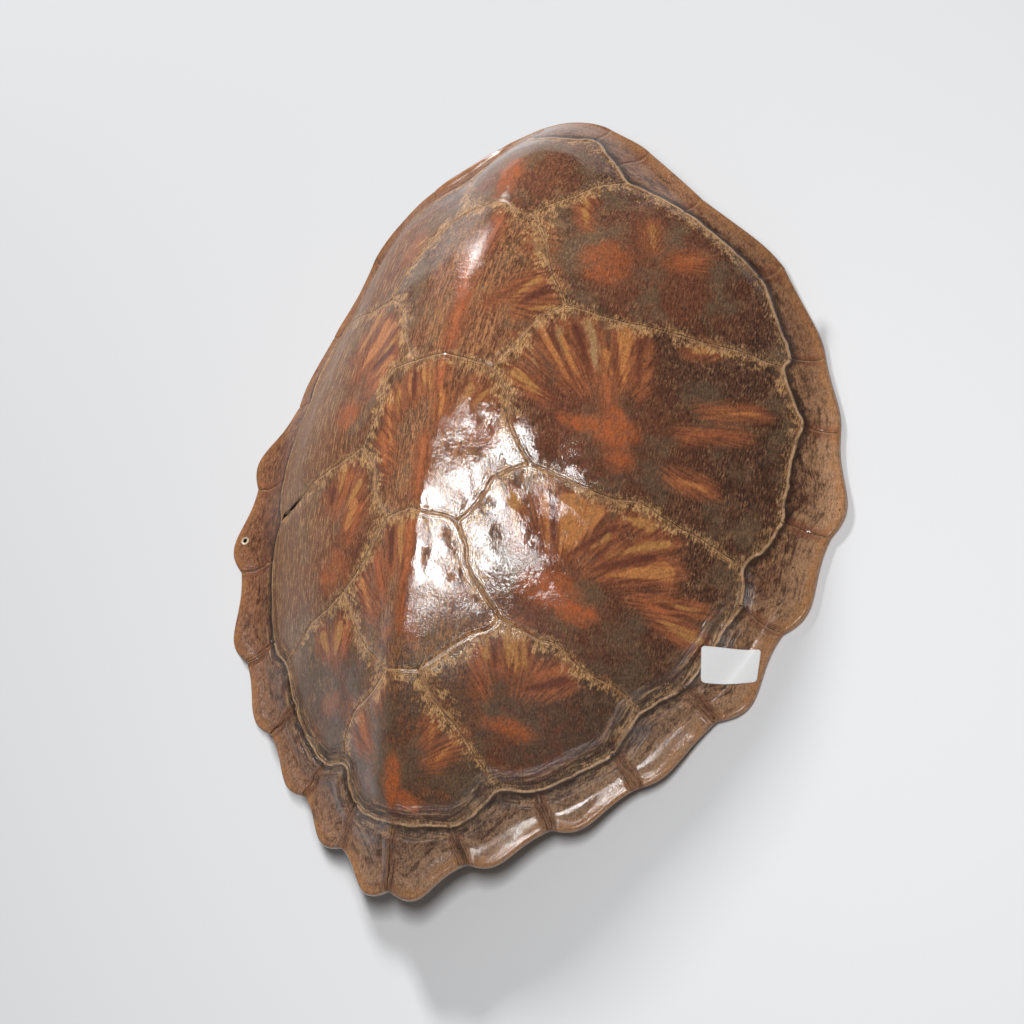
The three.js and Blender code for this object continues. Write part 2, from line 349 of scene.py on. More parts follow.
def along(knots, position):
    """Smooth curve through knots (position, value) that never overshoots them, at an array of positions."""
    x, y = np.array(knots, float).T
    slopes = np.diff(y) / np.diff(x)
    before, after = slopes[:-1], slopes[1:]
    total = np.where(before * after > 0, before + after, 1)
    tangent = np.zeros(len(x))
    tangent[1:-1] = np.where(before * after > 0, 2 * before * after / total, 0)
    at = np.clip(position, x[0], x[-1])
    i = np.clip(np.searchsorted(x, at, side="right") - 1, 0, len(x) - 2)
    span = x[i + 1] - x[i]
    s = (at - x[i]) / span
    rise = y[i] + (y[i + 1] - y[i]) * s * s * (3 - 2 * s)
    return rise + span * s * (1 - s) * (tangent[i] * (1 - s) - tangent[i + 1] * s)


def smoothstep(value, low, high):
    """Rises smoothly from 0 at low to 1 at high."""
    t = np.clip((value - low) / (high - low), 0, 1)
    return t * t * (3 - 2 * t)


def bell(distance, place, width):
    """A smooth rise to 1 at a place, a width across to either side."""
    return np.exp(-((distance - place) / width) ** 2)


def plan_angle(plan):
    """Degrees from the head, the same on both sides."""
    return np.degrees(np.abs(np.arctan2(plan[:, 0], plan[:, 1])))


def reach_share(plan):
    """Distance of plan points from the crown's axis as a share of the rim's."""
    return np.minimum(np.hypot(*plan.T) / along(REACH, plan_angle(plan)), 1)


def outer_height(plan):
    """Height of the smooth outer surface over plan points."""
    share = reach_share(plan)
    lip = along(LIP_HEIGHT, plan_angle(plan))
    length = np.maximum(np.hypot(*plan.T), 1e-6)
    crosswise, lengthwise = (plan / length[:, None]).T
    end = np.where(lengthwise > 0, along(DOME_HEAD, share), along(DOME_TAIL, share))
    dome = lengthwise ** 2 * end + crosswise ** 2 * along(DOME_SIDE, share)
    dome += HEADWARD_RISE * lengthwise * share * (1 - share) ** 2
    rounding = TAIL_ROUNDING + (RIDGE_ROUNDING - TAIL_ROUNDING) * smoothstep(plan[:, 1], -75, -20)
    crest = np.maximum(1 - np.hypot(plan[:, 0], rounding) / RIDGE_HALF_WIDTH, 0) ** 2
    ridge = along(RIDGE_HEIGHT, plan[:, 1]) * crest * np.minimum((1 - share) / RIDGE_FADE, 1)
    return lip + (CROWN_HEIGHT - lip) * dome + ridge


def inner_height(plan):
    """Height of the hollow side over plan points."""
    share = reach_share(plan)
    wall = WALL_LIP + (WALL_DOME - WALL_LIP) * np.minimum((1 - share) / WALL_TAPER, 1)
    inside = smoothstep(RIB_END - share, 0, RIB_FADE)
    spine = SPINE_DEPTH * bell(plan[:, 0], 0, SPINE_HALF_WIDTH) * inside
    wave = np.maximum(np.cos(2 * math.pi * plan[:, 1] / RIB_PITCH), 0) ** 2
    rib = RIB_DEPTH * wave * inside * smoothstep(share, 0, RIB_START)
    return np.maximum(outer_height(plan) - wall - spine - rib, 0)


def surface_normals(plan):
    """Upward normals of the smooth outer surface."""
    step = 0.5
    slopes = [(outer_height(plan + d) - outer_height(plan - d)) / (2 * step) for d in step * np.eye(2)]
    normals = np.column_stack([-slopes[0], -slopes[1], np.ones(len(plan))])
    return normals / np.linalg.norm(normals, axis=1)[:, None]


def ripple(plan, size, seed):
    """Smooth noise from -1 to 1 whose waves are about size millimetres."""
    return np.array([noise.noise(Vector((x / size, y / size, seed))) for x, y in plan])


def waves(plan, parts, seed=0):
    """Sum of ripples given as size, seed and height."""
    return sum(ripple(plan, size, seed + offset) * height for size, offset, height in parts)


# ---- Lines on the plan ----


def evenly(points, step):
    """Points about step apart on the polyline through the given ones, its ends kept."""
    run = np.concatenate([[0], np.cumsum(np.linalg.norm(np.diff(points, axis=0), axis=1))])
    at = np.linspace(0, run[-1], max(2, round(run[-1] / step) + 1))
    return np.column_stack([np.interp(at, run, points[:, k]) for k in (0, 1)])


def smooth_route(points, step):
    """Evenly spaced points on a smooth curve through the given ones."""
    p = np.array([points[0], *points, points[-1]], float)
    t = np.linspace(0, 1, 12, endpoint=False)[:, None]
    fine = [
        0.5 * (2 * b + (c - a) * t + (2 * a - 5 * b + 4 * c - d) * t ** 2 + (3 * b - a - 3 * c + d) * t ** 3)
        for a, b, c, d in zip(p, p[1:], p[2:], p[3:])
    ]
    return evenly(np.vstack([*fine, p[-1:]]), step)


def side_normals(line, closed=False):
    """Unit normals to the right of a plan line's run."""
    if closed:
        run = np.roll(line, -1, axis=0) - np.roll(line, 1, axis=0)
    else:
        run = np.gradient(line, axis=0)
    run /= np.linalg.norm(run, axis=1)[:, None]
    return np.column_stack([run[:, 1], -run[:, 0]])


def rim_outline():
    """The scalloped rim as a closed loop, clockwise from above, from the tail notch up the left side."""
    left = [(x, y, bulge, True) for x, y, bulge in LEFT_NOTCHES][::-1]
    right = [(x, y, bulge, False) for x, y, bulge in RIGHT_NOTCHES]
    stops = [(*TAIL_NOTCH, left[0][2], True)]
    for stop, after in zip(left, [*left[1:], None]):
        stops.append(stop[:2] + ((after[2], True) if after else (NUCHAL_BULGE, False)))
    stops += right + [(*TAIL_NOTCH, 0, False)]
    loop = []
    for start, end in zip(stops, stops[1:]):
        a, b = np.array(start[:2], float), np.array(end[:2], float)
        length = np.linalg.norm(b - a)
        t = np.linspace(0, 1, round(length / SEAM_STEP), endpoint=False)
        tailward = 1 - t if start[3] else t
        out = start[2] * np.sin(math.pi * tailward ** BULGE_SKEW)
        normal = np.array([-(b - a)[1], (b - a)[0]]) / length
        loop.append(a + (b - a) * t[:, None] + normal * out[:, None])
    return np.vstack(loop)


def wander(line):
    """Moves a seam's points a little, by a field that is the same for every seam."""
    return line + np.column_stack([waves(line, SEAM_WANDER, seed) for seed in (1.5, 8.5)])


def tree_of(points):
    """A search tree over plan points."""
    tree = kdtree.KDTree(len(points))
    for i, (x, y) in enumerate(points):
        tree.insert((x, y, 0), i)
    tree.balance()
    return tree


def distances(tree, plan):
    """Distance from plan points to the nearest point of a tree."""
    return np.array([tree.find((x, y, 0))[2] for x, y in plan])


class Seams:
    """The seam network: lines of points that meet exactly, by kind."""

    def __init__(self, rim):
        self.lines = []  # (kind, array of points)
        margin = [wander(smooth_route(side, SEAM_STEP)) for side in (MARGIN_RIGHT, MARGIN_LEFT)]
        margin[1][[0, -1]] = margin[0][[0, -1]]
        self.lines += [("margin", line) for line in margin]
        for points in INNER_SEAMS:
            self.lines.append(("inner", self.snapped(wander(smooth_route(points, SEAM_STEP)))))
        ends = [*RIGHT_MARGINAL_ENDS, *LEFT_MARGINAL_ENDS, MARGIN_RIGHT[-1]]
        for end, notch in zip(ends, [*RIGHT_NOTCHES, *LEFT_NOTCHES, TAIL_NOTCH]):
            line = wander(evenly(np.array([end, notch[:2]], float), SEAM_STEP))
            line[-1] = rim[np.argmin(np.linalg.norm(rim - np.array(notch[:2]), axis=1))]
            self.lines.append(("cross", self.snapped(line, ends=(0,))))

    def snapped(self, line, ends=(0, -1)):
        """The line with its ends moved onto the nearest points of the lines laid before, if near enough."""
        laid = np.vstack([points for kind, points in self.lines])
        for end in ends:
            gaps = np.linalg.norm(laid - line[end], axis=1)
            if gaps.min() < 2.5 * SEAM_STEP:
                line[end] = laid[np.argmin(gaps)]
        return line

    def dense(self, *kinds):
        """Closely spaced points on the lines of some kinds, or of all."""
        chosen = [line for kind, line in self.lines if not kinds or kind in kinds]
        return np.vstack([evenly(line, DENSE_STEP) for line in chosen])


class PlanMesh:
    """Plan points and edges gathered for one triangulation."""

    def __init__(self, loops):
        self.points = []
        self.edges = []
        self.cells = {}
        self.loops = loops
        for loop in loops:
            ids = [self.add(p) for p in loop]
            self.edges += list(zip(ids, ids[1:] + ids[:1]))

    def add(self, point, least=0.0):
        """Index of a point, of an equal one already there, or None if one lies nearer than least."""
        x, y = float(point[0]), float(point[1])
        cell = (math.floor(x / LEAST_GAP), math.floor(y / LEAST_GAP))
        for i in (-1, 0, 1):
            for j in (-1, 0, 1):
                for k in self.cells.get((cell[0] + i, cell[1] + j), ()):
                    gap = math.dist((x, y), self.points[k])
                    if gap < 1e-4:
                        return k
                    if gap < least:
                        return None
        self.points.append((x, y))
        self.cells.setdefault(cell, []).append(len(self.points) - 1)
        return len(self.points) - 1

    def add_line(self, line, keep=None, least=0.0):
        """Adds a line's kept points, and edges between neighbours that are both kept."""
        ids = [self.add(p, least) if keep is None or keep[i] else None for i, p in enumerate(line)]
        self.edges += [(a, b) for a, b in zip(ids, ids[1:]) if None not in (a, b) and a != b]

    def add_grid(self, spacing, keep):
        """Adds a grid of even triangles where keep(points) holds."""
        low, high = self.loops[0].min(0), self.loops[0].max(0)
        rows = []
        for n, y in enumerate(np.arange(low[1], high[1], spacing * math.sqrt(3) / 2)):
            x = np.arange(low[0] + (n % 2) * spacing / 2, high[0], spacing)
            rows.append(np.column_stack([x, np.full(len(x), y)]))
        grid = np.vstack(rows)
        self.points += [tuple(p) for p in grid[keep(grid)].tolist()]

    def triangles(self):
        """Plan points and triangles inside the first loop and outside the others, anticlockwise."""
        out = delaunay_2d_cdt([Vector(p) for p in self.points], self.edges, [], 1, 1e-5, False)
        plan = np.array([v[:] for v in out[0]])
        faces = np.array(out[2])
        a, b, c = (plan[faces[:, k]] for k in range(3))
        area = (b - a)[:, 0] * (c - a)[:, 1] - (b - a)[:, 1] * (c - a)[:, 0]
        faces[area < 0] = faces[area < 0][:, ::-1]
        middle = (a + b + c) / 3
        keep = inside_loop(middle, self.loops[0])
        for loop in self.loops[1:]:
            centre = loop.mean(0)
            radius = np.linalg.norm(loop - centre, axis=1).min()
            keep &= np.linalg.norm(middle - centre, axis=1) > radius * 0.99
        return plan, faces[keep & (np.abs(area) > 1e-6)]


def inside_loop(plan, loop):
    """Whether points lie inside a loop that every ray from the crown's axis crosses once."""
    angle = np.arctan2(loop[:, 0], loop[:, 1])
    order = np.argsort(angle)
    radius = np.hypot(*loop.T)[order]
    reach = np.interp(np.arctan2(plan[:, 0], plan[:, 1]), angle[order], radius, period=2 * math.pi)
    return np.hypot(*plan.T) < reach


# ---- Finished surface ----


def guide_distances(seams, edge_tree, plan):
    """Distance in millimetres from plan points to the nearest seam of each kind and to the rim."""
    near = {kind: distances(tree_of(seams.dense(kind)), plan) for kind in ("inner", "margin", "cross")}
    near["rim"] = distances(edge_tree, plan)
    return near


def gap_opening(plan, inner):
    """How open the gap along the left costal seam is at plan points, from 0 to 1."""
    start, end = (np.array(p, float) for p in GAP_ENDS)
    run = end - start
    t = ((plan - start) @ run) / (run @ run)
    near = (inner < GAP_SIDE) & (np.linalg.norm(plan - start - t[:, None] * run, axis=1) < GAP_REACH)
    return smoothstep(t, 0, GAP_START_FADE) * smoothstep(1 - t, 0, GAP_END_FADE) * near


def relief(plan, near, shell):
    """Height of the scutes' relief over the smooth outer surface, in millimetres."""
    inner, margin, cross = near["inner"], near["margin"], near["cross"]
    share_of_reach = reach_share(plan)
    tailward = smoothstep(plan_angle(plan), *REAR_ANGLES)
    on_marginals = tailward * ~inside_loop(plan, np.array(MARGIN_RIGHT[1:] + MARGIN_LEFT[-2:0:-1], float))
    height = waves(plan, OUTER_WAVES)
    for d, share_of_depth in ((inner, 1), (cross, CROSS_SHARE)):
        height -= share_of_depth * shell.groove * bell(d, 0, GROOVE_WIDTH)
        height += share_of_depth * shell.seam_lip * bell(d, WELT_PLACE, WELT_WIDTH)
    height += shell.margin_ridge * bell(margin, 0, RIDGE_WIDTH)
    height -= shell.pillow * np.exp(-np.minimum(inner, margin) / PILLOW_REACH)
    marginal_pillow = shell.pillow * CROSS_SHARE * np.exp(-cross / MARGINAL_PILLOW_REACH)
    height -= marginal_pillow * (share_of_reach > MARGINAL_SHARE)
    height -= shell.gutter * tailward * bell(margin, 0, GUTTER_WIDTH)
    height += shell.fold * on_marginals * bell(margin, FOLD_PLACE, FOLD_WIDTH)
    height += shell.inner_fold * tailward * bell(margin, INNER_FOLD_PLACE, INNER_FOLD_WIDTH)
    height += shell.rim_roll * on_marginals * bell(near["rim"], ROLL_PLACE, ROLL_WIDTH)
    keel = np.exp(-np.hypot(plan[:, 0], KEEL_TOP) / KEEL_REACH) * smoothstep(-plan[:, 1], *KEEL_RISE)
    keel *= smoothstep(1 - share_of_reach, *KEEL_FADE)
    height += shell.keel * keel
    return height - GAP_DEPTH * gap_opening(plan, inner) * bell(inner, 0, GAP_WIDTH)


def closeness(rays, plan):
    """How far plan points lie inside the nearest tapered ray, in millimetres, and the number of that ray."""
    tip_x, tip_y, end_x, end_y, tip_width, end_width = np.array([ray[:6] for ray in rays], float).T
    run = np.column_stack([end_x - tip_x, end_y - tip_y])
    from_tip = plan[:, None] - np.column_stack([tip_x, tip_y])
    length = np.linalg.norm(run, axis=1)
    far = 1 + RAY_OVERRUN / length
    t = np.clip((from_tip * run).sum(2) / length ** 2, 0, far)
    off = np.linalg.norm(from_tip - t[..., None] * run, axis=2)
    pointed = np.minimum(t / RAY_TIP_SHARE, 1) ** RAY_POINTING
    pointed = pointed * np.minimum((far - t) * length / RAY_END_LENGTH, 1) ** RAY_POINTING
    inside = (tip_width + (end_width - tip_width) * t) * pointed - off
    return inside.max(1), inside.argmax(1)


def blot_cover(plan):
    """How strongly the orange blots colour plan points, from 0 to 1."""
    cover = np.zeros(len(plan))
    uneven = waves(plan, BLOT_WAVES)
    for x, y, wide, long, strength in BLOTS:
        reach = np.hypot((plan[:, 0] - x) / wide, (plan[:, 1] - y) / long) + uneven
        cover = np.maximum(cover, strength * smoothstep(BLOT_EDGE - reach, 0, BLOT_FADE))
    return cover


def scute_of_faces(plan, faces, seams):
    """Index of the growth centre whose scute holds each triangle: joined across all edges but the seams'."""
    sides = np.sort(np.vstack([faces[:, [0, 1]], faces[:, [1, 2]], faces[:, [2, 0]]]), axis=1)
    owners = np.tile(np.arange(len(faces)), 3)
    order = np.lexsort(sides.T)
    sides, owners = sides[order], owners[order]
    pair = np.flatnonzero((sides[1:] == sides[:-1]).all(1))
    tree = tree_of(seams.dense())
    is_seam = distances(tree, plan[sides[pair]].mean(1)) < DENSE_STEP
    is_seam &= (distances(tree, plan)[sides[pair]] < ROW_SLACK).all(1)
    parent = np.arange(len(faces))

    def root(i):
        while parent[i] != i:
            parent[i] = parent[parent[i]]
            i = parent[i]
        return i

    for k in pair[~is_seam]:
        parent[root(owners[k])] = root(owners[k + 1])
    region = np.array([root(i) for i in range(len(faces))])
    middles = plan[faces].mean(1)
    scute = np.full(len(faces), -1)
    for n, face in enumerate(find_ids(middles, scute_centres())):
        scute[region == region[face]] = n
    loose, known = np.flatnonzero(scute < 0), np.flatnonzero(scute >= 0)
    if len(loose):
        scute[loose] = scute[known[find_ids(middles[known], middles[loose])]]
    return scute


def scute_centres():
    """Growth centres of all scutes: the named ones, then the marginals round the rim."""
    centres = list(GROWTH_CENTRES.values())
    for notches in (RIGHT_NOTCHES, LEFT_NOTCHES):
        stops = [*notches, (*TAIL_NOTCH, 0)]
        for a, b in zip(stops, stops[1:]):
            centres.append(((a[0] + b[0]) / 2 * MARGINAL_CENTRE, (a[1] + b[1]) / 2 * MARGINAL_CENTRE))
    return [*centres, NUCHAL_CENTRE]


def new_object(name, vertices, faces):
    """A mesh object at the origin from vertices in millimetres of the row frame."""
    mesh = bpy.data.meshes.new(name)
    mesh.from_pydata((vertices * MM).tolist(), [], faces.tolist())
    piece = bpy.data.objects.new(name, mesh)
    bpy.context.scene.collection.objects.link(piece)
    return piece


def select_only(piece):
    """Makes a piece the only selected one, and active."""
    bpy.ops.object.select_all(action="DESELECT")
    piece.select_set(True)
    bpy.context.view_layer.objects.active = piece


def store(mesh, name, kind, domain, values):
    """Keeps values on a mesh as a named attribute."""
    attribute = mesh.attributes.new(name, kind, domain)
    field = "vector" if kind == "FLOAT_VECTOR" else "value"
    attribute.data.foreach_set(field, np.asarray(values, np.float32).ravel())


def in_row_frame(plan, height):
    """Points of the row frame over plan points about the crown's axis."""
    return np.column_stack([plan + PLAN_SHIFT, height])


def hole_loop():
    """Points round the edge of the drilled hole."""
    turn = 2 * math.pi * np.arange(HOLE_POINTS) / HOLE_POINTS
    return np.array(HOLE_PLACE) + HOLE_RADIUS * np.column_stack([np.cos(turn), np.sin(turn)])


def find_ids(plan, points):
    """Indices of the plan points that lie at the given ones."""
    tree = tree_of(plan)
    return np.array([tree.find((x, y, 0))[1] for x, y in points])


def clear_of_hole(plan, gap):
    """Whether plan points lie more than a gap outside the drilled hole."""
    return np.linalg.norm(plan - np.array(HOLE_PLACE), axis=1) > HOLE_RADIUS + gap


def outer_side(seams, inset, outwards, inset_tree):
    """Plan points and triangles of the outer side, with rows of points along seams, keel and rim."""
    seam_tree = tree_of(seams.dense())
    outer = PlanMesh([inset, hole_loop()])
    for kind, line in seams.lines:
        outer.add_line(line)
    for d in SEAM_ROWS:
        for kind, line in seams.lines:
            for side in (-1, 1):
                row = line + side * d * side_normals(line)
                keep = (distances(seam_tree, row) > d - ROW_SLACK) & inside_loop(row, inset)
                keep &= (distances(inset_tree, row) > LEAST_GAP) & clear_of_hole(row, HOLE_CLEARANCE)
                outer.add_line(row, keep, LEAST_GAP)
    keel = np.column_stack([np.zeros(KEEL_POINTS), np.linspace(*KEEL_ENDS, KEEL_POINTS)])
    for x in (0, *[side * d for d in KEEL_ROWS for side in (-1, 1)]):
        row = keel + np.array([x, 0])
        keep = (distances(seam_tree, row) > KEEL_CLEARANCE) & (distances(inset_tree, row) > KEEL_CLEARANCE)
        outer.add_line(row, keep, LEAST_GAP)
    for d in RIM_ROWS:
        row = inset - outwards * d
        keep = (distances(seam_tree, row) > RIM_CLEARANCE) & (distances(inset_tree, row) > d - ROW_SLACK)
        outer.add_line(row, keep & clear_of_hole(row, HOLE_CLEARANCE), LEAST_GAP)

    def open_ground(plan):
        keep = inside_loop(plan, inset)
        keep[keep] &= distances(inset_tree, plan[keep]) > RIM_ROWS[-1] + GRID_CLEARANCE
        keep[keep] &= distances(seam_tree, plan[keep]) > SEAM_ROWS[-1] + GRID_CLEARANCE
        keep &= np.abs(plan[:, 0]) > KEEL_ROWS[-1] + GRID_CLEARANCE
        return keep & clear_of_hole(plan, HOLE_GRID_CLEARANCE)

    outer.add_grid(OUTER_SPACING, open_ground)
    return outer.triangles()


def hollow_side(inset, inset_tree):
    """Plan points, triangles and vertices of the hollow side."""
    hollow = PlanMesh([inset, hole_loop()])

    def open_ground(plan):
        keep = inside_loop(plan, inset)
        keep[keep] &= distances(inset_tree, plan[keep]) > HOLLOW_CLEARANCE
        return keep & clear_of_hole(plan, HOLE_HOLLOW_CLEARANCE)

    hollow.add_grid(HOLLOW_SPACING, open_ground)
    plan, faces = hollow.triangles()
    fade = smoothstep(distances(inset_tree, plan), *HOLLOW_FADE)
    height = np.maximum(inner_height(plan) + waves(plan, HOLLOW_WAVES) * fade, 0)
    return plan, faces, in_row_frame(plan, height)


def band(upper, lower):
    """Triangles between two closed rings of vertices."""
    after, below = np.roll(upper, -1), np.roll(lower, -1)
    return [np.column_stack([upper, after, below]), np.column_stack([upper, below, lower])]


def build_carapace(shell):
    """The closed shell: outer side, rounded lip, hollow side and the wall of the drilled hole."""
    rim = rim_outline()
    outwards = -side_normals(rim, closed=True)
    inset = rim - outwards * LIP_ROUND
    inset_tree = tree_of(evenly(np.vstack([inset, inset[:1]]), DENSE_STEP))
    seams = Seams(inset)
    plan, faces = outer_side(seams, inset, outwards, inset_tree)
    raised = relief(plan, guide_distances(seams, inset_tree, plan), shell)
    vertices = in_row_frame(plan, outer_height(plan)) + surface_normals(plan) * raised[:, None]
    hollow_plan, hollow_faces, hollow_vertices = hollow_side(inset, inset_tree)
    count = len(vertices)

    # rounded lip between the two, and the hole's wall
    top_ids, low_ids = find_ids(plan, inset), find_ids(hollow_plan, inset)
    top, low = vertices[top_ids], hollow_vertices[low_ids]
    rings, lip_rows = [top_ids], []
    for turn in np.radians(LIP_TURNS):
        row = (top * (1 + math.cos(turn)) + low * (1 - math.cos(turn))) / 2
        row[:, :2] += outwards * LIP_ROUND * math.sin(turn)
        rings.append(count + len(hollow_vertices) + len(inset) * len(lip_rows) + np.arange(len(inset)))
        lip_rows.append(row)
    rings.append(low_ids + count)
    hole = hole_loop()
    walls = band(find_ids(plan, hole), find_ids(hollow_plan, hole) + count)
    for upper, lower in zip(rings, rings[1:]):
        walls += band(upper, lower)

    all_faces = np.vstack([faces, hollow_faces[:, ::-1] + count, *walls])
    piece = new_object("scuted_carapace", np.vstack([vertices, hollow_vertices, *lip_rows]), all_faces)
    select_only(piece)
    bpy.ops.object.mode_set(mode="EDIT")
    bpy.ops.mesh.select_all(action="SELECT")
    bpy.ops.mesh.remove_doubles(threshold=WELD)
    bpy.ops.mesh.normals_make_consistent(inside=False)
    bpy.ops.object.mode_set(mode="OBJECT")
    bpy.ops.object.shade_smooth()
    paint_guides(piece, seams, plan[faces].mean(1), scute_of_faces(plan, faces, seams), inset_tree)
    return piece


def read(items, field, width, kind=np.float32):
    """One field of all of a mesh's vertices, corners or polygons, in rows of three."""
    values = np.empty(len(items) * width, kind)
    items.foreach_get(field, values)
    return values.reshape(-1, 3)


def paint_guides(piece, seams, outer_middles, scute, inset_tree):
    """Stores what the materials follow: seam and rim distances, and places within each scute."""
    mesh = piece.data
    plan = read(mesh.vertices, "co", 3).astype(float)[:, :2] / MM - PLAN_SHIFT
    near = guide_distances(seams, inset_tree, plan)
    near["rim"] *= inside_loop(plan, rim_outline())
    ray, number = closeness(RAYS, plan)
    guides = {
        "inner_seam": np.minimum(near["inner"], FAR),
        "margin_seam": np.minimum(near["margin"], FAR),
        "cross_seam": np.minimum(near["cross"], FAR),
        "rim": np.minimum(near["rim"], FAR),
        "tailward": smoothstep(plan_angle(plan), *REAR_ANGLES),
        "ray": np.maximum(ray, DEEP),
        "ray_tint": [RAY_TINTS[RAYS[n][6]] for n in number],
        "shadow_ray": np.maximum(closeness(SHADOW_RAYS, plan)[0], DEEP),
        "blot": blot_cover(plan),
        "gap": GAP_HALF_WIDTH * gap_opening(plan, near["inner"]) - near["inner"],
    }
    for name, values in guides.items():
        store(mesh, name, "FLOAT", "POINT", values)

    # places within each scute, mirrored on the left, with a number of the scute's own
    corners = plan[read(mesh.loops, "vertex_index", 1, np.int32)]
    middle = corners.mean(1)
    owner = scute[find_ids(outer_middles, middle)]
    centres = np.array(scute_centres(), float)
    local = corners - centres[owner][:, None]
    local[:, :, 0] *= np.where(centres[owner, 0] < LEFT_OF_KEEL, -1, 1)[:, None]
    seed = np.broadcast_to(((owner * SEED_STEP) % SEED_RANGE)[:, None, None], (len(owner), 3, 1))
    store(mesh, "growth", "FLOAT_VECTOR", "CORNER", np.dstack([local, seed]))
    store(mesh, "marginal", "FLOAT", "CORNER", np.repeat(owner >= len(GROWTH_CENTRES), 3))

    # faces of the hollow side, past the band where the horn wraps round the rim, are bare bone
    wrap = HORN_WRAP + waves(middle, WRAP_WAVES)
    bare = (read(mesh.polygons, "normal", 3)[:, 2] < BARE_TILT) & (distances(inset_tree, middle) > wrap)
    mesh.polygons.foreach_set("material_index", bare.astype(np.int32))


# ---- Materials ----

SMOOTH = {"interpolation_type": "SMOOTHSTEP"}
COLOUR = {"data_type": "RGBA"}
TIMES = {"operation": "MULTIPLY"}
PLUS = {"operation": "ADD"}


def put(tree, kind, inputs=(), out=None, **settings):
    """Adds a shader node with its settings, gives its inputs by name or in order, and returns one output."""
    node = tree.nodes.new("ShaderNode" + kind)
    for name, value in settings.items():
        setattr(node, name, value)
    if isinstance(inputs, dict):
        pairs = [(node.inputs[name], value) for name, value in inputs.items()]
    else:
        pairs = zip([socket for socket in node.inputs if socket.enabled], inputs)
    for socket, value in pairs:
        if isinstance(value, bpy.types.NodeSocket):
            tree.links.new(value, socket)
        else:
            socket.default_value = value
    if not node.outputs:
        return None
    return node.outputs[out] if out else next(socket for socket in node.outputs if socket.enabled)


def new_material(name):
    """An empty node material and the function that adds nodes to it."""
    material = bpy.data.materials.new(name)
    material.use_nodes = True
    material.node_tree.nodes.clear()
    return material, partial(put, material.node_tree)


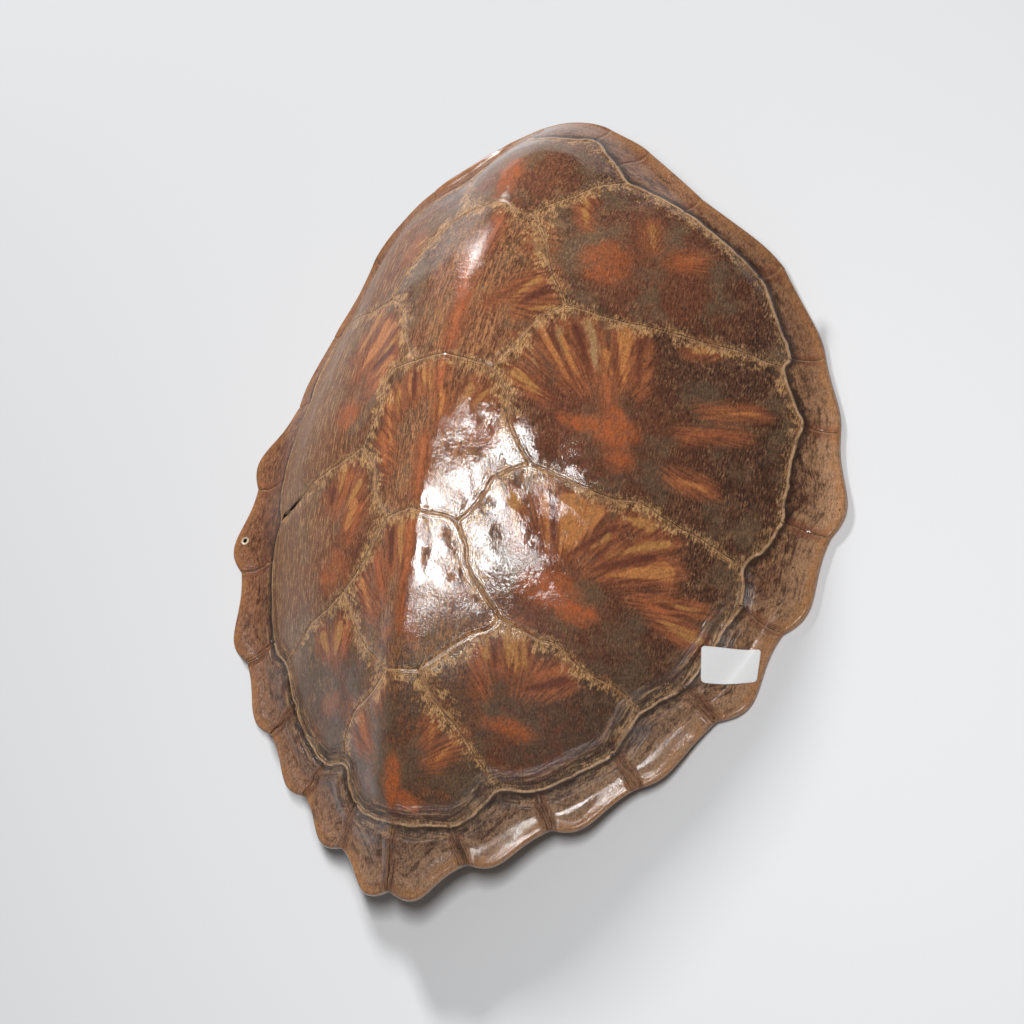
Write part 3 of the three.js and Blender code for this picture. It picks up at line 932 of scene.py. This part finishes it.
def varnished_keratin(horn):
    """Horn scutes under clear varnish: flecked brown, amber rays and blots, golden seams, a wet gloss."""
    material, node = new_material("varnished_keratin")
    place = node("TexCoord", out="Object")
    across = node("SeparateXYZ", [place], out="X")
    lengthwise = node("SeparateXYZ", [place], out="Y")
    growth = node("Attribute", attribute_name="growth", out="Vector")
    guides = ("inner_seam", "margin_seam", "cross_seam", "rim", "marginal", "ray", "ray_tint", "shadow_ray",
              "blot", "gap", "tailward")
    inner, margin, cross, rim, marginal, ray, ray_tint, shadow_ray, blot, gap, tailward = [
        node("Attribute", attribute_name=name, out="Fac") for name in guides
    ]

    # noises: clouds, smoke, mottle and grit, then flecks and streaks that run from head to tail
    clouds, smoke, mottle, grit = [
        node("TexNoise", {"Vector": place, "Scale": 1 / (size * MM), "Detail": detail, "Roughness": rough})
        for size, detail, rough in ((24, 3.0, 0.5), (11, 5.0, 0.55), (5, 4.0, 0.6), (1.3, 2.0, 0.6))
    ]
    flecks, streaks = [
        node("TexNoise", {"Vector": node("VectorMath", [place, [1 / (size * MM) for size in sizes]], **TIMES),
                          "Scale": 1.0, "Detail": 3.0, "Roughness": rough})
        for sizes, rough in (((0.75, 3.6, 1.2), 0.7), ((1.3, 15, 2), 0.6))
    ]
    speck = node("Math", [mottle, 0.5, flecks], operation="MULTIPLY_ADD")
    streaky = node("Math", [flecks, 0.6, streaks], operation="MULTIPLY_ADD")

    # a fan of fine threads about each growth centre
    flat = node("VectorMath", [growth, (1, 1, 0)], **TIMES)
    radius = node("VectorMath", [flat], out="Value", operation="LENGTH")
    bearing = node("VectorMath", [flat], operation="NORMALIZE")
    apart = node("VectorMath", [growth, (0, 0, 1)], **TIMES)
    outwards = node("CombineXYZ", {"Z": node("Math", [radius, 1 / 16], **TIMES)})
    fan_place = node("VectorMath", [bearing, (24, 24, 24), apart], operation="MULTIPLY_ADD")
    fan_place = node("VectorMath", [fan_place, outwards], **PLUS)
    fan = node("TexNoise", {"Vector": fan_place, "Scale": 1.0, "Detail": 3.0, "Roughness": 0.6})
    headward = node("VectorMath", [bearing, (-0.3, 0.95, 0)], out="Value", operation="DOT_PRODUCT")

    # ground: dark to tan flecks in smoky patches, redder near the growth centre, worn, faded and bleached
    # on the left flank, tanner along the keel, darker towards the tail, painted shade on the outer right
    # costals
    near_centre = node("Math", [clouds, 60, radius], operation="MULTIPLY_ADD")
    warm = node("Math", [node("MapRange", [near_centre, 88, 46, 0.0, 0.65], **SMOOTH),
                         node("MapRange", [streaks, 0.35, 0.6, 0.5, 1.0], **SMOOTH)], **TIMES)
    leftward = node("Math", [clouds, 60 * MM, across], operation="MULTIPLY_ADD")
    faded = node("Math", [node("MapRange", [leftward, -25 * MM, -95 * MM, 0.0, 0.75], **SMOOTH),
                          node("MapRange", [streaks, 0.35, 0.6, 1.0, 0.4], **SMOOTH)], **TIMES)
    flank = node("MapRange", [across, -25 * MM, -95 * MM], **SMOOTH)
    bleached = node("Math", [flank, node("MapRange", [streaks, 0.5, 0.64, 0.0, 0.55], **SMOOTH)], **TIMES)
    off_keel = node("Math", [across], operation="ABSOLUTE")
    off_head = node("MapRange", [lengthwise, 160 * MM, 130 * MM, 0.2, 1.0], **SMOOTH)
    off_tail = node("MapRange", [lengthwise, -155 * MM, -110 * MM, 0.2, 1.0], **SMOOTH)
    off_ends = node("Math", [off_head, off_tail], **TIMES)
    keelward = node("Math", [node("MapRange", [off_keel, 48 * MM, 18 * MM], **SMOOTH), off_ends], **TIMES)
    tanned = node("Math", [keelward, node("MapRange", [streaky, 0.72, 0.95, 0.1, 0.8], **SMOOTH)], **TIMES)
    tail_end = node("MapRange", [lengthwise, -60 * MM, -140 * MM], **SMOOTH)
    shaded = node("Math", [tail_end, node("MapRange", [smoke, 0.36, 0.56, 0.15, 0.6], **SMOOTH)], **TIMES)
    # painted shade: the outer right costals are darkened towards the flank
    outer_right_shade = node("MapRange", [across, 55 * MM, 110 * MM, 0.0, 0.26], **SMOOTH)
    off_shoulder = node("MapRange", [lengthwise, 110 * MM, 60 * MM], **SMOOTH)
    outer_right_shade = node("Math", [outer_right_shade, off_shoulder], **TIMES)
    coats = [
        (node("MapRange", [flecks, 0.36, 0.56], **SMOOTH), horn.brown),
        (node("MapRange", [speck, 0.78, 1.02, 0.0, 0.9], **SMOOTH), horn.fleck),
        (node("MapRange", [smoke, 0.47, 0.34, 0.0, 0.55], **SMOOTH), horn.dark),
        (node("MapRange", [smoke, 0.55, 0.7, 0.0, 0.4], **SMOOTH), horn.fleck),
        (warm, horn.red),
        (node("MapRange", [clouds, 0.46, 0.64, 0.0, 0.55], **SMOOTH), horn.olive),
        (faded, horn.faded),
        (bleached, horn.tan),
        (tanned, horn.keel),
        (shaded, horn.slate),
        # painted shade on the outer right costals
        (outer_right_shade, horn.dark),
    ]

    # clear horn between and around the rays, red brown with darker and amber threads
    ragged = node("Math", [node("Math", [fan, -0.5], **PLUS), 3.0], **TIMES)
    lit = node("Math", [ray, shadow_ray], operation="MAXIMUM")
    around = node("Math", [lit, node("Math", [ragged, 3.0], **TIMES)], **PLUS)
    threads = node("Mix", [node("MapRange", [fan, 0.36, 0.58], **SMOOTH), horn.umber, horn.rust], **COLOUR)
    lightest = node("MapRange", [fan, 0.58, 0.7, 0.0, 0.35], **SMOOTH)
    threads = node("Mix", [lightest, threads, horn.amber], **COLOUR)
    coats.append((node("MapRange", [around, -9.0, -0.5, 0.0, 0.85], **SMOOTH), threads))

    # dark and light rays, feathered along the threads and palest in the middle
    dark_edge = node("Math", [shadow_ray, node("Math", [ragged, 1.0], **TIMES)], **PLUS)
    edge = node("Math", [ray, node("Math", [ragged, 1.3], **TIMES)], **PLUS)
    tint = horn.orange
    for cover, colour in (
        (node("MapRange", [ray_tint, 0.0, 0.33]), horn.amber),
        (node("MapRange", [ray_tint, 0.33, 0.67]), horn.gold),
        (node("MapRange", [ray_tint, 0.67, 1.0]), horn.pale),
        (node("MapRange", [fan, 0.54, 0.36, 0.0, 0.6], **SMOOTH), horn.rust),
        (node("MapRange", [ray, 0.8, 3.0, 0.0, 0.35], **SMOOTH), horn.gold),
    ):
        tint = node("Mix", [cover, tint, colour], **COLOUR)
    coats.append((node("MapRange", [dark_edge, -1.2, 1.2, 0.0, 0.75], **SMOOTH), horn.purple))
    coats.append((node("MapRange", [edge, -1.1, 1.2, 0.0, 0.9], **SMOOTH), tint))

    # blots of orange at the growth centres
    blotchy = node("MapRange", [mottle, 0.35, 0.65], **SMOOTH)
    blot_tint = node("Mix", [blotchy, horn.rust, horn.blot], **COLOUR)
    coats.append((node("Math", [blot, 0.82], **TIMES), blot_tint))

    # marginals: smoky brown, dark in the gutter, tan towards the rim, redder and with painted shade on the
    # left and at the head
    folds = node("TexNoise", {
        "Vector": place, "W": node("Math", [rim, 9 * MM], **TIMES), "Scale": 1 / (16 * MM), "Detail": 5.0,
        "Roughness": 0.65,
    }, noise_dimensions="4D")
    patchy = node("Math", [node("Math", [folds, smoke], **PLUS), 22], **TIMES)
    bared = node("Math", [rim, -0.7, patchy], operation="MULTIPLY_ADD")
    # painted shade: the marginals on the left and at the head are darkened towards umber, as well as redder
    redder_with_shade = node("Math", [node("MapRange", [across, 40 * MM, -80 * MM, 0.0, 0.7]),
                           node("MapRange", [lengthwise, 60 * MM, 130 * MM, 0.0, 0.5])], operation="MAXIMUM")
    inwards = node("MapRange", [bared, 20, 9, 0.35, 1.0])
    murky = node("Math", [mottle, 0.8, folds], operation="MULTIPLY_ADD")
    murky = node("MapRange", [murky, 0.92, 0.74, 0.0, 0.7], **SMOOTH)
    specked = node("MapRange", [flecks, 0.48, 0.36, 0.0, 0.6], **SMOOTH)
    flushed = node("Math", [mottle, 6.0, cross], operation="MULTIPLY_ADD")
    lip = node("Math", [rim, node("Math", [mottle, 9.0], **TIMES)], **PLUS)
    lip = node("Math", [node("MapRange", [lip, 10.0, 6.0, 0.0, 0.6], **SMOOTH),
                        node("MapRange", [smoke, 0.36, 0.54, 0.2, 1.0], **SMOOTH)], **TIMES)
    edge_ground = horn.margin_dark
    for cover, colour in (
        (node("MapRange", [bared, 4, 17], **SMOOTH), horn.margin),
        (redder_with_shade, horn.umber),
        # greyish dust towards the tail, partly a painted sheen
        (node("Math", [tail_end, 0.35], **TIMES), horn.dust_and_sheen),
        (node("MapRange", [speck, 0.7, 0.98, 0.0, 0.45], **SMOOTH), horn.fleck),
        (node("Math", [murky, inwards], **TIMES), horn.dark),
        (node("Math", [specked, inwards], **TIMES), horn.dark),
        (node("MapRange", [flushed, 9.5, 4.5, 0.0, 0.6], **SMOOTH), horn.red),
        (lip, horn.edge),
    ):
        edge_ground = node("Mix", [cover, edge_ground, colour], **COLOUR)
    coats.append((marginal, edge_ground))

    # speckled golden fringe behind each seam, on the side of the scute that faces the head
    seam = node("Math", [inner, margin], operation="MINIMUM")
    width = node("MapRange", [headward, -0.2, 0.75, 1.8, 5.5], **SMOOTH)
    tongues = node("MapRange", [node("Math", [fan, mottle], **PLUS), 0.78, 1.25, 0.3, 1.9])
    reach = node("Math", [node("Math", [width, tongues], **TIMES), seam], operation="SUBTRACT")
    reach = node("Math", [reach, node("MapRange", [speck, 0.55, 0.95, -2.0, 2.0])], **PLUS)
    fringe = node("Math", [node("MapRange", [reach, -2.5, 4.5, 0.0, 0.9], **SMOOTH),
                           node("MapRange", [marginal, 0, 1, 1.0, 0.3])], **TIMES)
    tan = node("Mix", [node("MapRange", [speck, 0.62, 0.84], **SMOOTH), horn.tan_dark, horn.tan], **COLOUR)
    tan = node("Mix", [node("MapRange", [smoke, 0.5, 0.38, 0.0, 0.7], **SMOOTH), tan, horn.brown], **COLOUR)
    coats.append((fringe, tan))

    # the seams themselves: a tan welt crossed by thin dark lines, the middle one darkest
    any_seam = node("Math", [seam, cross], operation="MINIMUM")
    drift = node("Math", [mottle, 2.2, any_seam], operation="MULTIPLY_ADD")
    drift = node("Math", [headward, -0.6, drift], operation="MULTIPLY_ADD")
    lines = node("Math", [node("Math", [drift, 2 * math.pi / 1.15], **TIMES)], operation="SINE")
    beside = node("Math", [seam, node("Math", [cross, 2.5], **TIMES)], operation="MINIMUM")
    lines = node("Math", [node("MapRange", [lines, 0.55, 1.0], **SMOOTH),
                          node("MapRange", [beside, 5.0, 1.8], **SMOOTH)], **TIMES)
    lines = node("Math", [lines, node("MapRange", [smoke, 0.4, 0.6, 0.1, 1.0])], **TIMES)
    grooved = node("Math", [inner, cross], operation="MINIMUM")
    coats += [
        (node("MapRange", [drift, 2.1, 0.9, 0.0, 0.65], **SMOOTH), horn.welt),
        (node("Math", [lines, 0.85], **TIMES), horn.line),
        (node("MapRange", [grooved, 0.45, 0.1, 0.0, 0.95], **SMOOTH), horn.line),
    ]

    # layered folds in the gutter inside the rear margin and beside its cross seams
    crease = node("Math", [margin, node("Math", [cross, 2.2], **TIMES)], operation="MINIMUM")
    layers = node("TexNoise", {
        "Vector": place, "W": node("Math", [crease, 9 * MM], **TIMES), "Scale": 1 / (13 * MM), "Detail": 5.0,
        "Roughness": 0.6,
    }, noise_dimensions="4D")
    layered = node("Math", [node("MapRange", [crease, 12, 5], **SMOOTH), tailward], **TIMES)
    for layer, colour in (
        (node("MapRange", [layers, 0.5, 0.41, 0.0, 0.7], **SMOOTH), horn.dark),
        (node("MapRange", [layers, 0.52, 0.62, 0.0, 0.7], **SMOOTH), horn.layer),
    ):
        coats.append((node("Math", [layered, layer], **TIMES), colour))

    # pale ridge between the marginals and the rest, partly a painted highlight, with painted shade in its lee
    ridge_shade = node("Math", [mottle, 4.0, margin], operation="MULTIPLY_ADD")
    ridge_shade = node("Math", [node("MapRange", [ridge_shade, 7.5, 3.5, 0.0, 0.85], **SMOOTH), marginal], **TIMES)
    ridge = node("Math", [node("MapRange", [margin, 0.85, 0.3], **SMOOTH),
                          node("MapRange", [smoke, 0.4, 0.55, 0.45, 0.9], **SMOOTH)], **TIMES)

    # pits, painted shade in the open gap and at the drilled hole's edge, and the pale ring round the drilled
    # hole
    pits = node("TexVoronoi", {"Vector": place, "Scale": 1 / (9 * MM)}, out="Distance")
    pitted = node("Math", [node("MapRange", [pits, 0.085, 0.05], **SMOOTH),
                           node("MapRange", [mottle, 0.5, 0.56], **SMOOTH)], **TIMES)
    opened = node("MapRange", [gap, -0.3, 0.3], **SMOOTH)
    hole = (*(np.array(HOLE_PLACE) + PLAN_SHIFT) * MM, 0)
    level = node("VectorMath", [place, (1, 1, 0)], **TIMES)
    from_hole = node("VectorMath", [level, hole], out="Value", operation="DISTANCE")
    coats += [
        # painted shade beside the margin ridge, and the ridge's pale colour, partly a painted highlight
        (ridge_shade, horn.line),
        (ridge, horn.ridge),
        (node("Math", [pitted, 0.85], **TIMES), horn.line),
        # painted shade in the open gap
        (opened, horn.line),
        (node("MapRange", [from_hole, 3.0 * MM, 2.3 * MM, 0.0, 0.9], **SMOOTH), horn.ring),
        # painted shade at the edge of the drilled hole
        (node("MapRange", [from_hole, 1.6 * MM, 1.2 * MM], **SMOOTH), horn.line),
    ]

    # all coats over the darkest ground, then a fine grain, light and dark
    ground = horn.dark
    for cover, colour in coats:
        ground = node("Mix", [cover, ground, colour], **COLOUR)
    grain = node("MapRange", [node("Math", [flecks, grit], **PLUS), 0.75, 1.25, 0.66, 1.34])
    ground = node("VectorMath", [ground, node("CombineXYZ", [grain, grain, grain])], **TIMES)

    # surface: orange-peel varnish over grain, growth lines and folds
    waviness = node("TexNoise", {"Vector": place, "Scale": 1 / (7 * MM), "Detail": 2.0})
    hazed = node("Math", [node("MapRange", [lengthwise, -70 * MM, -110 * MM, 0.0, 0.08], **SMOOTH),
                          node("MapRange", [lengthwise, 60 * MM, 100 * MM, 0.0, 0.14], **SMOOTH)], **PLUS)
    scuffed = node("MapRange", [smoke, 0.42, 0.62, 0.015, 0.09])
    rubbed = node("Math", [marginal, tailward], **TIMES)
    for part, share in ((hazed, keelward), (flank, 0.1), (rubbed, 0.05)):
        scuffed = node("Math", [part, share, scuffed], operation="MULTIPLY_ADD")
    height = node("Math", [node("Math", [flecks, grit], **PLUS), scuffed], **TIMES)
    folded = node("Math", [layered, layers], **TIMES)
    for part, depth in ((waviness, 0.11), (lines, -0.12), (folded, 2.2), (pitted, -0.2)):
        height = node("Math", [part, depth, height], operation="MULTIPLY_ADD")
    bump = node("Bump", {"Height": height, "Distance": MM, "Strength": 1.0})
    satin = node("Math", [node("MapRange", [lengthwise, -60 * MM, -100 * MM], **SMOOTH),
                          node("MapRange", [across, 105 * MM, 50 * MM], **SMOOTH)], **TIMES)
    satin = node("Math", [satin, node("MapRange", [streaky, 0.65, 0.95, 0.75, 1.0], **SMOOTH)], **TIMES)
    coat = node("Math", [node("MapRange", [flank, 0, 1, 1.0, 0.3]),
                         node("MapRange", [opened, 0, 1, 1, 0])], **TIMES)
    shader = node("BsdfPrincipled", {
        "Base Color": ground, "Roughness": node("MapRange", [satin, 0, 1, 0.8, 0.27]), "IOR": 1.55,
        "Specular IOR Level": 0.2, "Normal": bump, "Coat Weight": coat, "Coat Roughness": 0.08,
        "Coat IOR": 1.42, "Coat Normal": bump,
    })
    node("OutputMaterial", {"Surface": shader})
    return material


def dried_bone():
    """Dry bone with old tissue: matt, cream to brown, faintly porous."""
    material, node = new_material("dried_bone")
    place = node("TexCoord", out="Object")
    clouds = node("TexNoise", {"Vector": place, "Scale": 1 / (35 * MM), "Detail": 4.0, "Roughness": 0.6})
    pores = node("TexNoise", {"Vector": place, "Scale": 1 / (1.5 * MM), "Detail": 3.0, "Roughness": 0.6})
    cloudy = node("MapRange", [clouds, 0.35, 0.65])
    tint = node("Mix", [cloudy, linear("#86694a"), linear("#d3c29e")], **COLOUR)
    shade = node("MapRange", [pores, 0.3, 0.6, 0.75, 1.0])
    colour = node("Mix", [1.0, tint, shade], blend_type="MULTIPLY", **COLOUR)
    bump = node("Bump", {"Height": pores, "Distance": 0.3 * MM, "Strength": 0.6})
    shader = node("BsdfPrincipled", {"Base Color": colour, "Roughness": 0.7, "IOR": 1.5, "Normal": bump})
    node("OutputMaterial", {"Surface": shader})
    return material


def label_paper():
    """Coated label paper: bright white, faint fibres, a soft satin."""
    material, node = new_material("label_paper")
    place = node("TexCoord", out="Object")
    fibres = node("TexNoise", {"Vector": place, "Scale": 1 / (0.8 * MM), "Detail": 3.0, "Roughness": 0.6})
    shade = node("Mix", [fibres, linear("#f0f0f0"), linear("#ffffff")], **COLOUR)
    bump = node("Bump", {"Height": fibres, "Distance": 0.05 * MM, "Strength": 0.5})
    shader = node("BsdfPrincipled", {"Base Color": shade, "Roughness": 0.45, "IOR": 1.5, "Normal": bump})
    node("OutputMaterial", {"Surface": shader})
    return material


def painted_board():
    """Matt white painted board for the floor."""
    material, node = new_material("painted_board")
    place = node("TexCoord", out="Object")
    cloud = node("TexNoise", {"Vector": place, "Scale": 1.2, "Detail": 2.0})
    shade = node("Mix", [cloud, linear("#e6e7e9"), linear("#ebecee")], **COLOUR)
    shader = node("BsdfPrincipled", {"Base Color": shade, "Roughness": 0.8})
    node("OutputMaterial", {"Surface": shader})
    return material


# ---- Properties ----


def colour_property(name, code, description):
    """A colour given as an sRGB hex value."""
    return bpy.props.FloatVectorProperty(name=name, description=description, subtype="COLOR", size=4, min=0,
                                         max=1, default=linear(code))


def measure(name, description, default, least=0, **kind):
    """A number that is never below its least, with a unit where it has one."""
    return bpy.props.FloatProperty(name=name, description=description, default=default, min=least, **kind)


class ShellRelief(bpy.types.PropertyGroup):
    """Depths and heights of the scutes' relief, in millimetres."""

    groove: measure("Groove", "Depth of a seam's groove in mm", 0.3)
    seam_lip: measure("Seam lip", "Height of the welt on either side of a seam in mm", 0.14)
    margin_ridge: measure("Margin ridge", "Height of the ridge inside the marginals in mm", 0.45)
    pillow: measure("Pillow", "How far a scute sinks towards its seams in mm", 0.8)
    gutter: measure("Gutter", "Depth of the gutter inside the rear margin in mm", 1.8)
    fold: measure("Fold", "Height of the fold along the rear marginals in mm", 1.2)
    inner_fold: measure("Inner fold", "Height of the folds in the gutter in mm", 0.9)
    rim_roll: measure("Rim roll", "Height of the roll along the rear rim in mm", 0.7)
    keel: measure("Keel", "Height of the sharp keel towards the tail in mm", 0.9)


class HornColours(bpy.types.PropertyGroup):
    """Colours of the varnished horn."""

    # also the colour of the painted shade on the outer right costals
    dark: colour_property("Dark horn", "#3a2113", "Darkest flecks of the ground")
    brown: colour_property("Brown horn", "#6d4631", "Ground of the scutes")
    fleck: colour_property("Flecks", "#ac845f", "Tan flecks on the ground")
    red: colour_property("Red horn", "#834a32", "Clear horn near the growth centres")
    olive: colour_property("Worn horn", "#7c654c", "Worn greyish patches")
    faded: colour_property("Faded horn", "#8a5730", "Yellow brown of the left flank")
    slate: colour_property("Shaded horn", "#4b3f33", "Dark olive smoke towards the tail")
    # dust, partly a painted sheen on the rear marginals
    dust_and_sheen: colour_property("Dust", "#86766a", "Greyish bloom on the rear marginals")
    purple: colour_property("Shadow rays", "#5a2c22", "Dark rays between the light ones")
    rust: colour_property("Rust horn", "#a05d3a", "Clear horn between the rays")
    # also the redder, painted shade on the left and head marginals
    umber: colour_property("Umber horn", "#7b4329", "Darker threads in the clear horn")
    orange: colour_property("Orange rays", "#b0633c", "Reddest of the light rays")
    amber: colour_property("Amber rays", "#c68048", "Light rays")
    gold: colour_property("Golden rays", "#ba8449", "Golden rays")
    pale: colour_property("Pale rays", "#b18c60", "Palest, olive rays")
    keel: colour_property("Keel", "#b98054", "Tan streaks along the keel")
    blot: colour_property("Blot", "#bd6232", "Orange blot at a growth centre")
    tan: colour_property("Tan fringe", "#cc9d6a", "Fringe along the seams")
    tan_dark: colour_property("Dark fringe", "#8a5c36", "Dark specks of the fringe")
    welt: colour_property("Seam welt", "#c4946a", "Raised welt along a seam")
    layer: colour_property("Folds", "#b08a62", "Tan folds in the gutter")
    # pale ridge colour, partly a painted highlight
    ridge: colour_property("Margin ridge", "#cfa67e", "Ridge between the marginals and the rest")
    # seam line colour, also the painted shade beside the margin ridge, in the open gap and at the hole's edge
    line: colour_property("Seam line", "#2b180f", "Lines in and beside a seam's groove")
    margin: colour_property("Marginals", "#ab8160", "Marginal scutes towards the rim")
    margin_dark: colour_property("Dark marginals", "#6b4531", "Marginal scutes towards the gutter")
    edge: colour_property("Rim edge", "#ab7547", "Clear horn at the rim's edge")
    ring: colour_property("Hole ring", "#e0cdb0", "Bared ring round the drilled hole")


class LabelSizes(bpy.types.PropertyGroup):
    """Size and place of the paper label, in metres, as seen from above."""

    width: measure("Width", "Plan width", 0.030, 0.005, unit="LENGTH")
    height: measure("Height", "Plan height", 0.0195, 0.005, unit="LENGTH")
    corner: measure("Corner", "Radius of its corners", 0.002, unit="LENGTH")
    lift: measure("Lift", "Gap under it", 0.0008, unit="LENGTH")
    thickness: measure("Thickness", "Thickness of the paper", 0.0003, unit="LENGTH")
    turn: measure("Turn", "Turn from crosswise", math.radians(13), subtype="ANGLE", unit="ROTATION")
    lean: measure("Lean", "Lean of its sides from square to its length", math.radians(8), subtype="ANGLE",
                  unit="ROTATION")


class StudioLight(bpy.types.PropertyGroup):
    """Powers of the studio's lights."""

    softbox: measure("Softbox", "Power of the box beside the camera", 8.4)
    side: measure("Side light", "Power of the light over the left of the head", 86)
    room: measure("Room", "Strength of the room's light", 0.13)


GROUPS = {
    "shell_relief": ShellRelief,
    "horn_colours": HornColours,
    "shell_label": LabelSizes,
    "shell_light": StudioLight,
}


# ---- Operators ----


class TURTLESHELL_OT_carapace(bpy.types.Operator):
    """Model the carapace with its scutes, lip and hollow side"""

    bl_idname = "turtle_shell.carapace"
    bl_label = "Carapace"

    def execute(self, context):
        scene = context.scene
        piece = build_carapace(scene.shell_relief)
        piece.data.materials.append(varnished_keratin(scene.horn_colours))
        piece.data.materials.append(dried_bone())
        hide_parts("carapace")
        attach(piece, "root")
        return {"FINISHED"}


class TURTLESHELL_OT_label(bpy.types.Operator):
    """Lay the blank paper label on the right rear margin"""

    bl_idname = "turtle_shell.label"
    bl_label = "Paper label"

    def execute(self, context):
        label = context.scene.shell_label
        bpy.ops.object.select_all(action="DESELECT")
        bpy.ops.mesh.primitive_grid_add(x_subdivisions=LABEL_STEPS[0], y_subdivisions=LABEL_STEPS[1], size=1)
        piece = context.object
        piece.name = "blank_label"
        piece.data.name = "blank_label"
        co = np.array([v.co[:2] for v in piece.data.vertices]) * (label.width, label.height) / MM
        half = np.array([label.width, label.height]) / 2 / MM
        corner = label.corner / MM
        past = np.maximum(np.abs(co) - (half - corner), 0)
        reach = np.maximum(past.max(1), 1e-9) / np.maximum(np.linalg.norm(past, axis=1), 1e-9)
        co = np.where(past > 0, np.sign(co) * (half - corner + past * reach[:, None]), co)
        upright = label.turn - label.lean
        along_row = (math.cos(label.turn), math.sin(label.turn))
        spin = np.array([along_row, (-math.sin(upright), math.cos(upright))])
        plan = co @ spin + np.array(LABEL_PLACE)
        vertices = in_row_frame(plan, outer_height(plan)) + surface_normals(plan) * label.lift / MM
        piece.data.vertices.foreach_set("co", (vertices * MM).ravel())
        piece.data.update()
        modifier = piece.modifiers.new("paper", "SOLIDIFY")
        modifier.thickness = label.thickness
        modifier.offset = 1
        bpy.ops.object.modifier_apply(modifier=modifier.name)
        bpy.ops.object.shade_smooth_by_angle(angle=math.radians(40))
        piece.data.materials.append(label_paper())
        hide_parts("paper_label")
        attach(piece, "root")
        return {"FINISHED"}


class TURTLESHELL_OT_stage(bpy.types.Operator):
    """Set the pale floor, the studio lights and the camera"""

    bl_idname = "turtle_shell.stage"
    bl_label = "Stage"

    def execute(self, context):
        scene = context.scene
        light = scene.shell_light
        bpy.ops.object.select_all(action="DESELECT")
        bpy.ops.mesh.primitive_plane_add(size=FLOOR_SIZE)
        floor = context.object
        floor.name = "pale_floor"
        floor.data.materials.append(painted_board())
        add_light("softbox", light.softbox, *SOFTBOX)
        add_light("side_light", light.side, *SIDE_LIGHT)
        add_room(light.room)
        aim = Vector(CAMERA_AIM) * MM
        azimuth, elevation = math.radians(CAMERA_AZIMUTH), math.radians(CAMERA_ELEVATION)
        back = Vector((math.sin(azimuth) * math.cos(elevation), -math.cos(azimuth) * math.cos(elevation),
                       math.sin(elevation)))
        bpy.ops.object.camera_add(location=aim + back * CAMERA_DISTANCE * MM)
        camera = context.object
        camera.rotation_mode = "QUATERNION"
        roll = Quaternion((0, 0, 1), math.radians(CAMERA_ROLL))
        camera.rotation_quaternion = (-back).to_track_quat("-Z", "Y") @ roll
        camera.data.lens = CAMERA_LENS
        camera.data.clip_start = 0.05
        camera.data.clip_end = 50
        scene.camera = camera
        scene.view_settings.view_transform = "Standard"
        return {"FINISHED"}


def add_light(name, power, size, place, target, roll):
    """A rectangular lamp that faces a target, rolled by some degrees about its own axis."""
    data = bpy.data.lights.new(name, "AREA")
    data.shape = "RECTANGLE"
    data.size, data.size_y = size
    data.energy = power
    lamp = bpy.data.objects.new(name, data)
    bpy.context.scene.collection.objects.link(lamp)
    lamp.location = place
    lamp.rotation_mode = "QUATERNION"
    facing = (Vector(target) - Vector(place)).to_track_quat("-Z", "Y")
    lamp.rotation_quaternion = facing @ Quaternion((0, 0, 1), math.radians(roll))
    lamp.visible_camera = False


def add_room(strength):
    """Even light from a neutral room."""
    world = bpy.data.worlds.new("room")
    world.use_nodes = True
    world.node_tree.nodes.clear()
    glow = put(world.node_tree, "Background", {"Color": linear("#f5f4f2"), "Strength": strength})
    put(world.node_tree, "OutputWorld", {"Surface": glow})
    bpy.context.scene.world = world


class TURTLESHELL_PT_panel(bpy.types.Panel):
    """Lists the shell's pieces and their settings"""

    bl_idname = "TURTLESHELL_PT_panel"
    bl_label = "Turtle Shell"
    bl_space_type = "VIEW_3D"
    bl_region_type = "UI"
    bl_category = "Turtle Shell"

    def draw(self, context):
        layout = self.layout
        for name, group in GROUPS.items():
            box = layout.box()
            box.label(text=group.__doc__)
            for prop in group.__annotations__:
                box.prop(getattr(context.scene, name), prop)
        for operator in OPERATORS:
            layout.operator(operator.bl_idname)


OPERATORS = (TURTLESHELL_OT_stage, TURTLESHELL_OT_carapace, TURTLESHELL_OT_label)


def register():
    for group in GROUPS.values():
        bpy.utils.register_class(group)
    for name, group in GROUPS.items():
        setattr(bpy.types.Scene, name, bpy.props.PointerProperty(type=group))
    for operator in OPERATORS:
        bpy.utils.register_class(operator)
    bpy.utils.register_class(TURTLESHELL_PT_panel)


def unregister():
    bpy.utils.unregister_class(TURTLESHELL_PT_panel)
    for operator in reversed(OPERATORS):
        bpy.utils.unregister_class(operator)
    for name, group in GROUPS.items():
        delattr(bpy.types.Scene, name)
        bpy.utils.unregister_class(group)


def main():
    register()
    bpy.ops.turtle_shell.stage()
    bpy.ops.turtle_shell.carapace()
    bpy.ops.turtle_shell.label()
    bpy.context.view_layer.update()


if __name__ == "__main__":
    main()
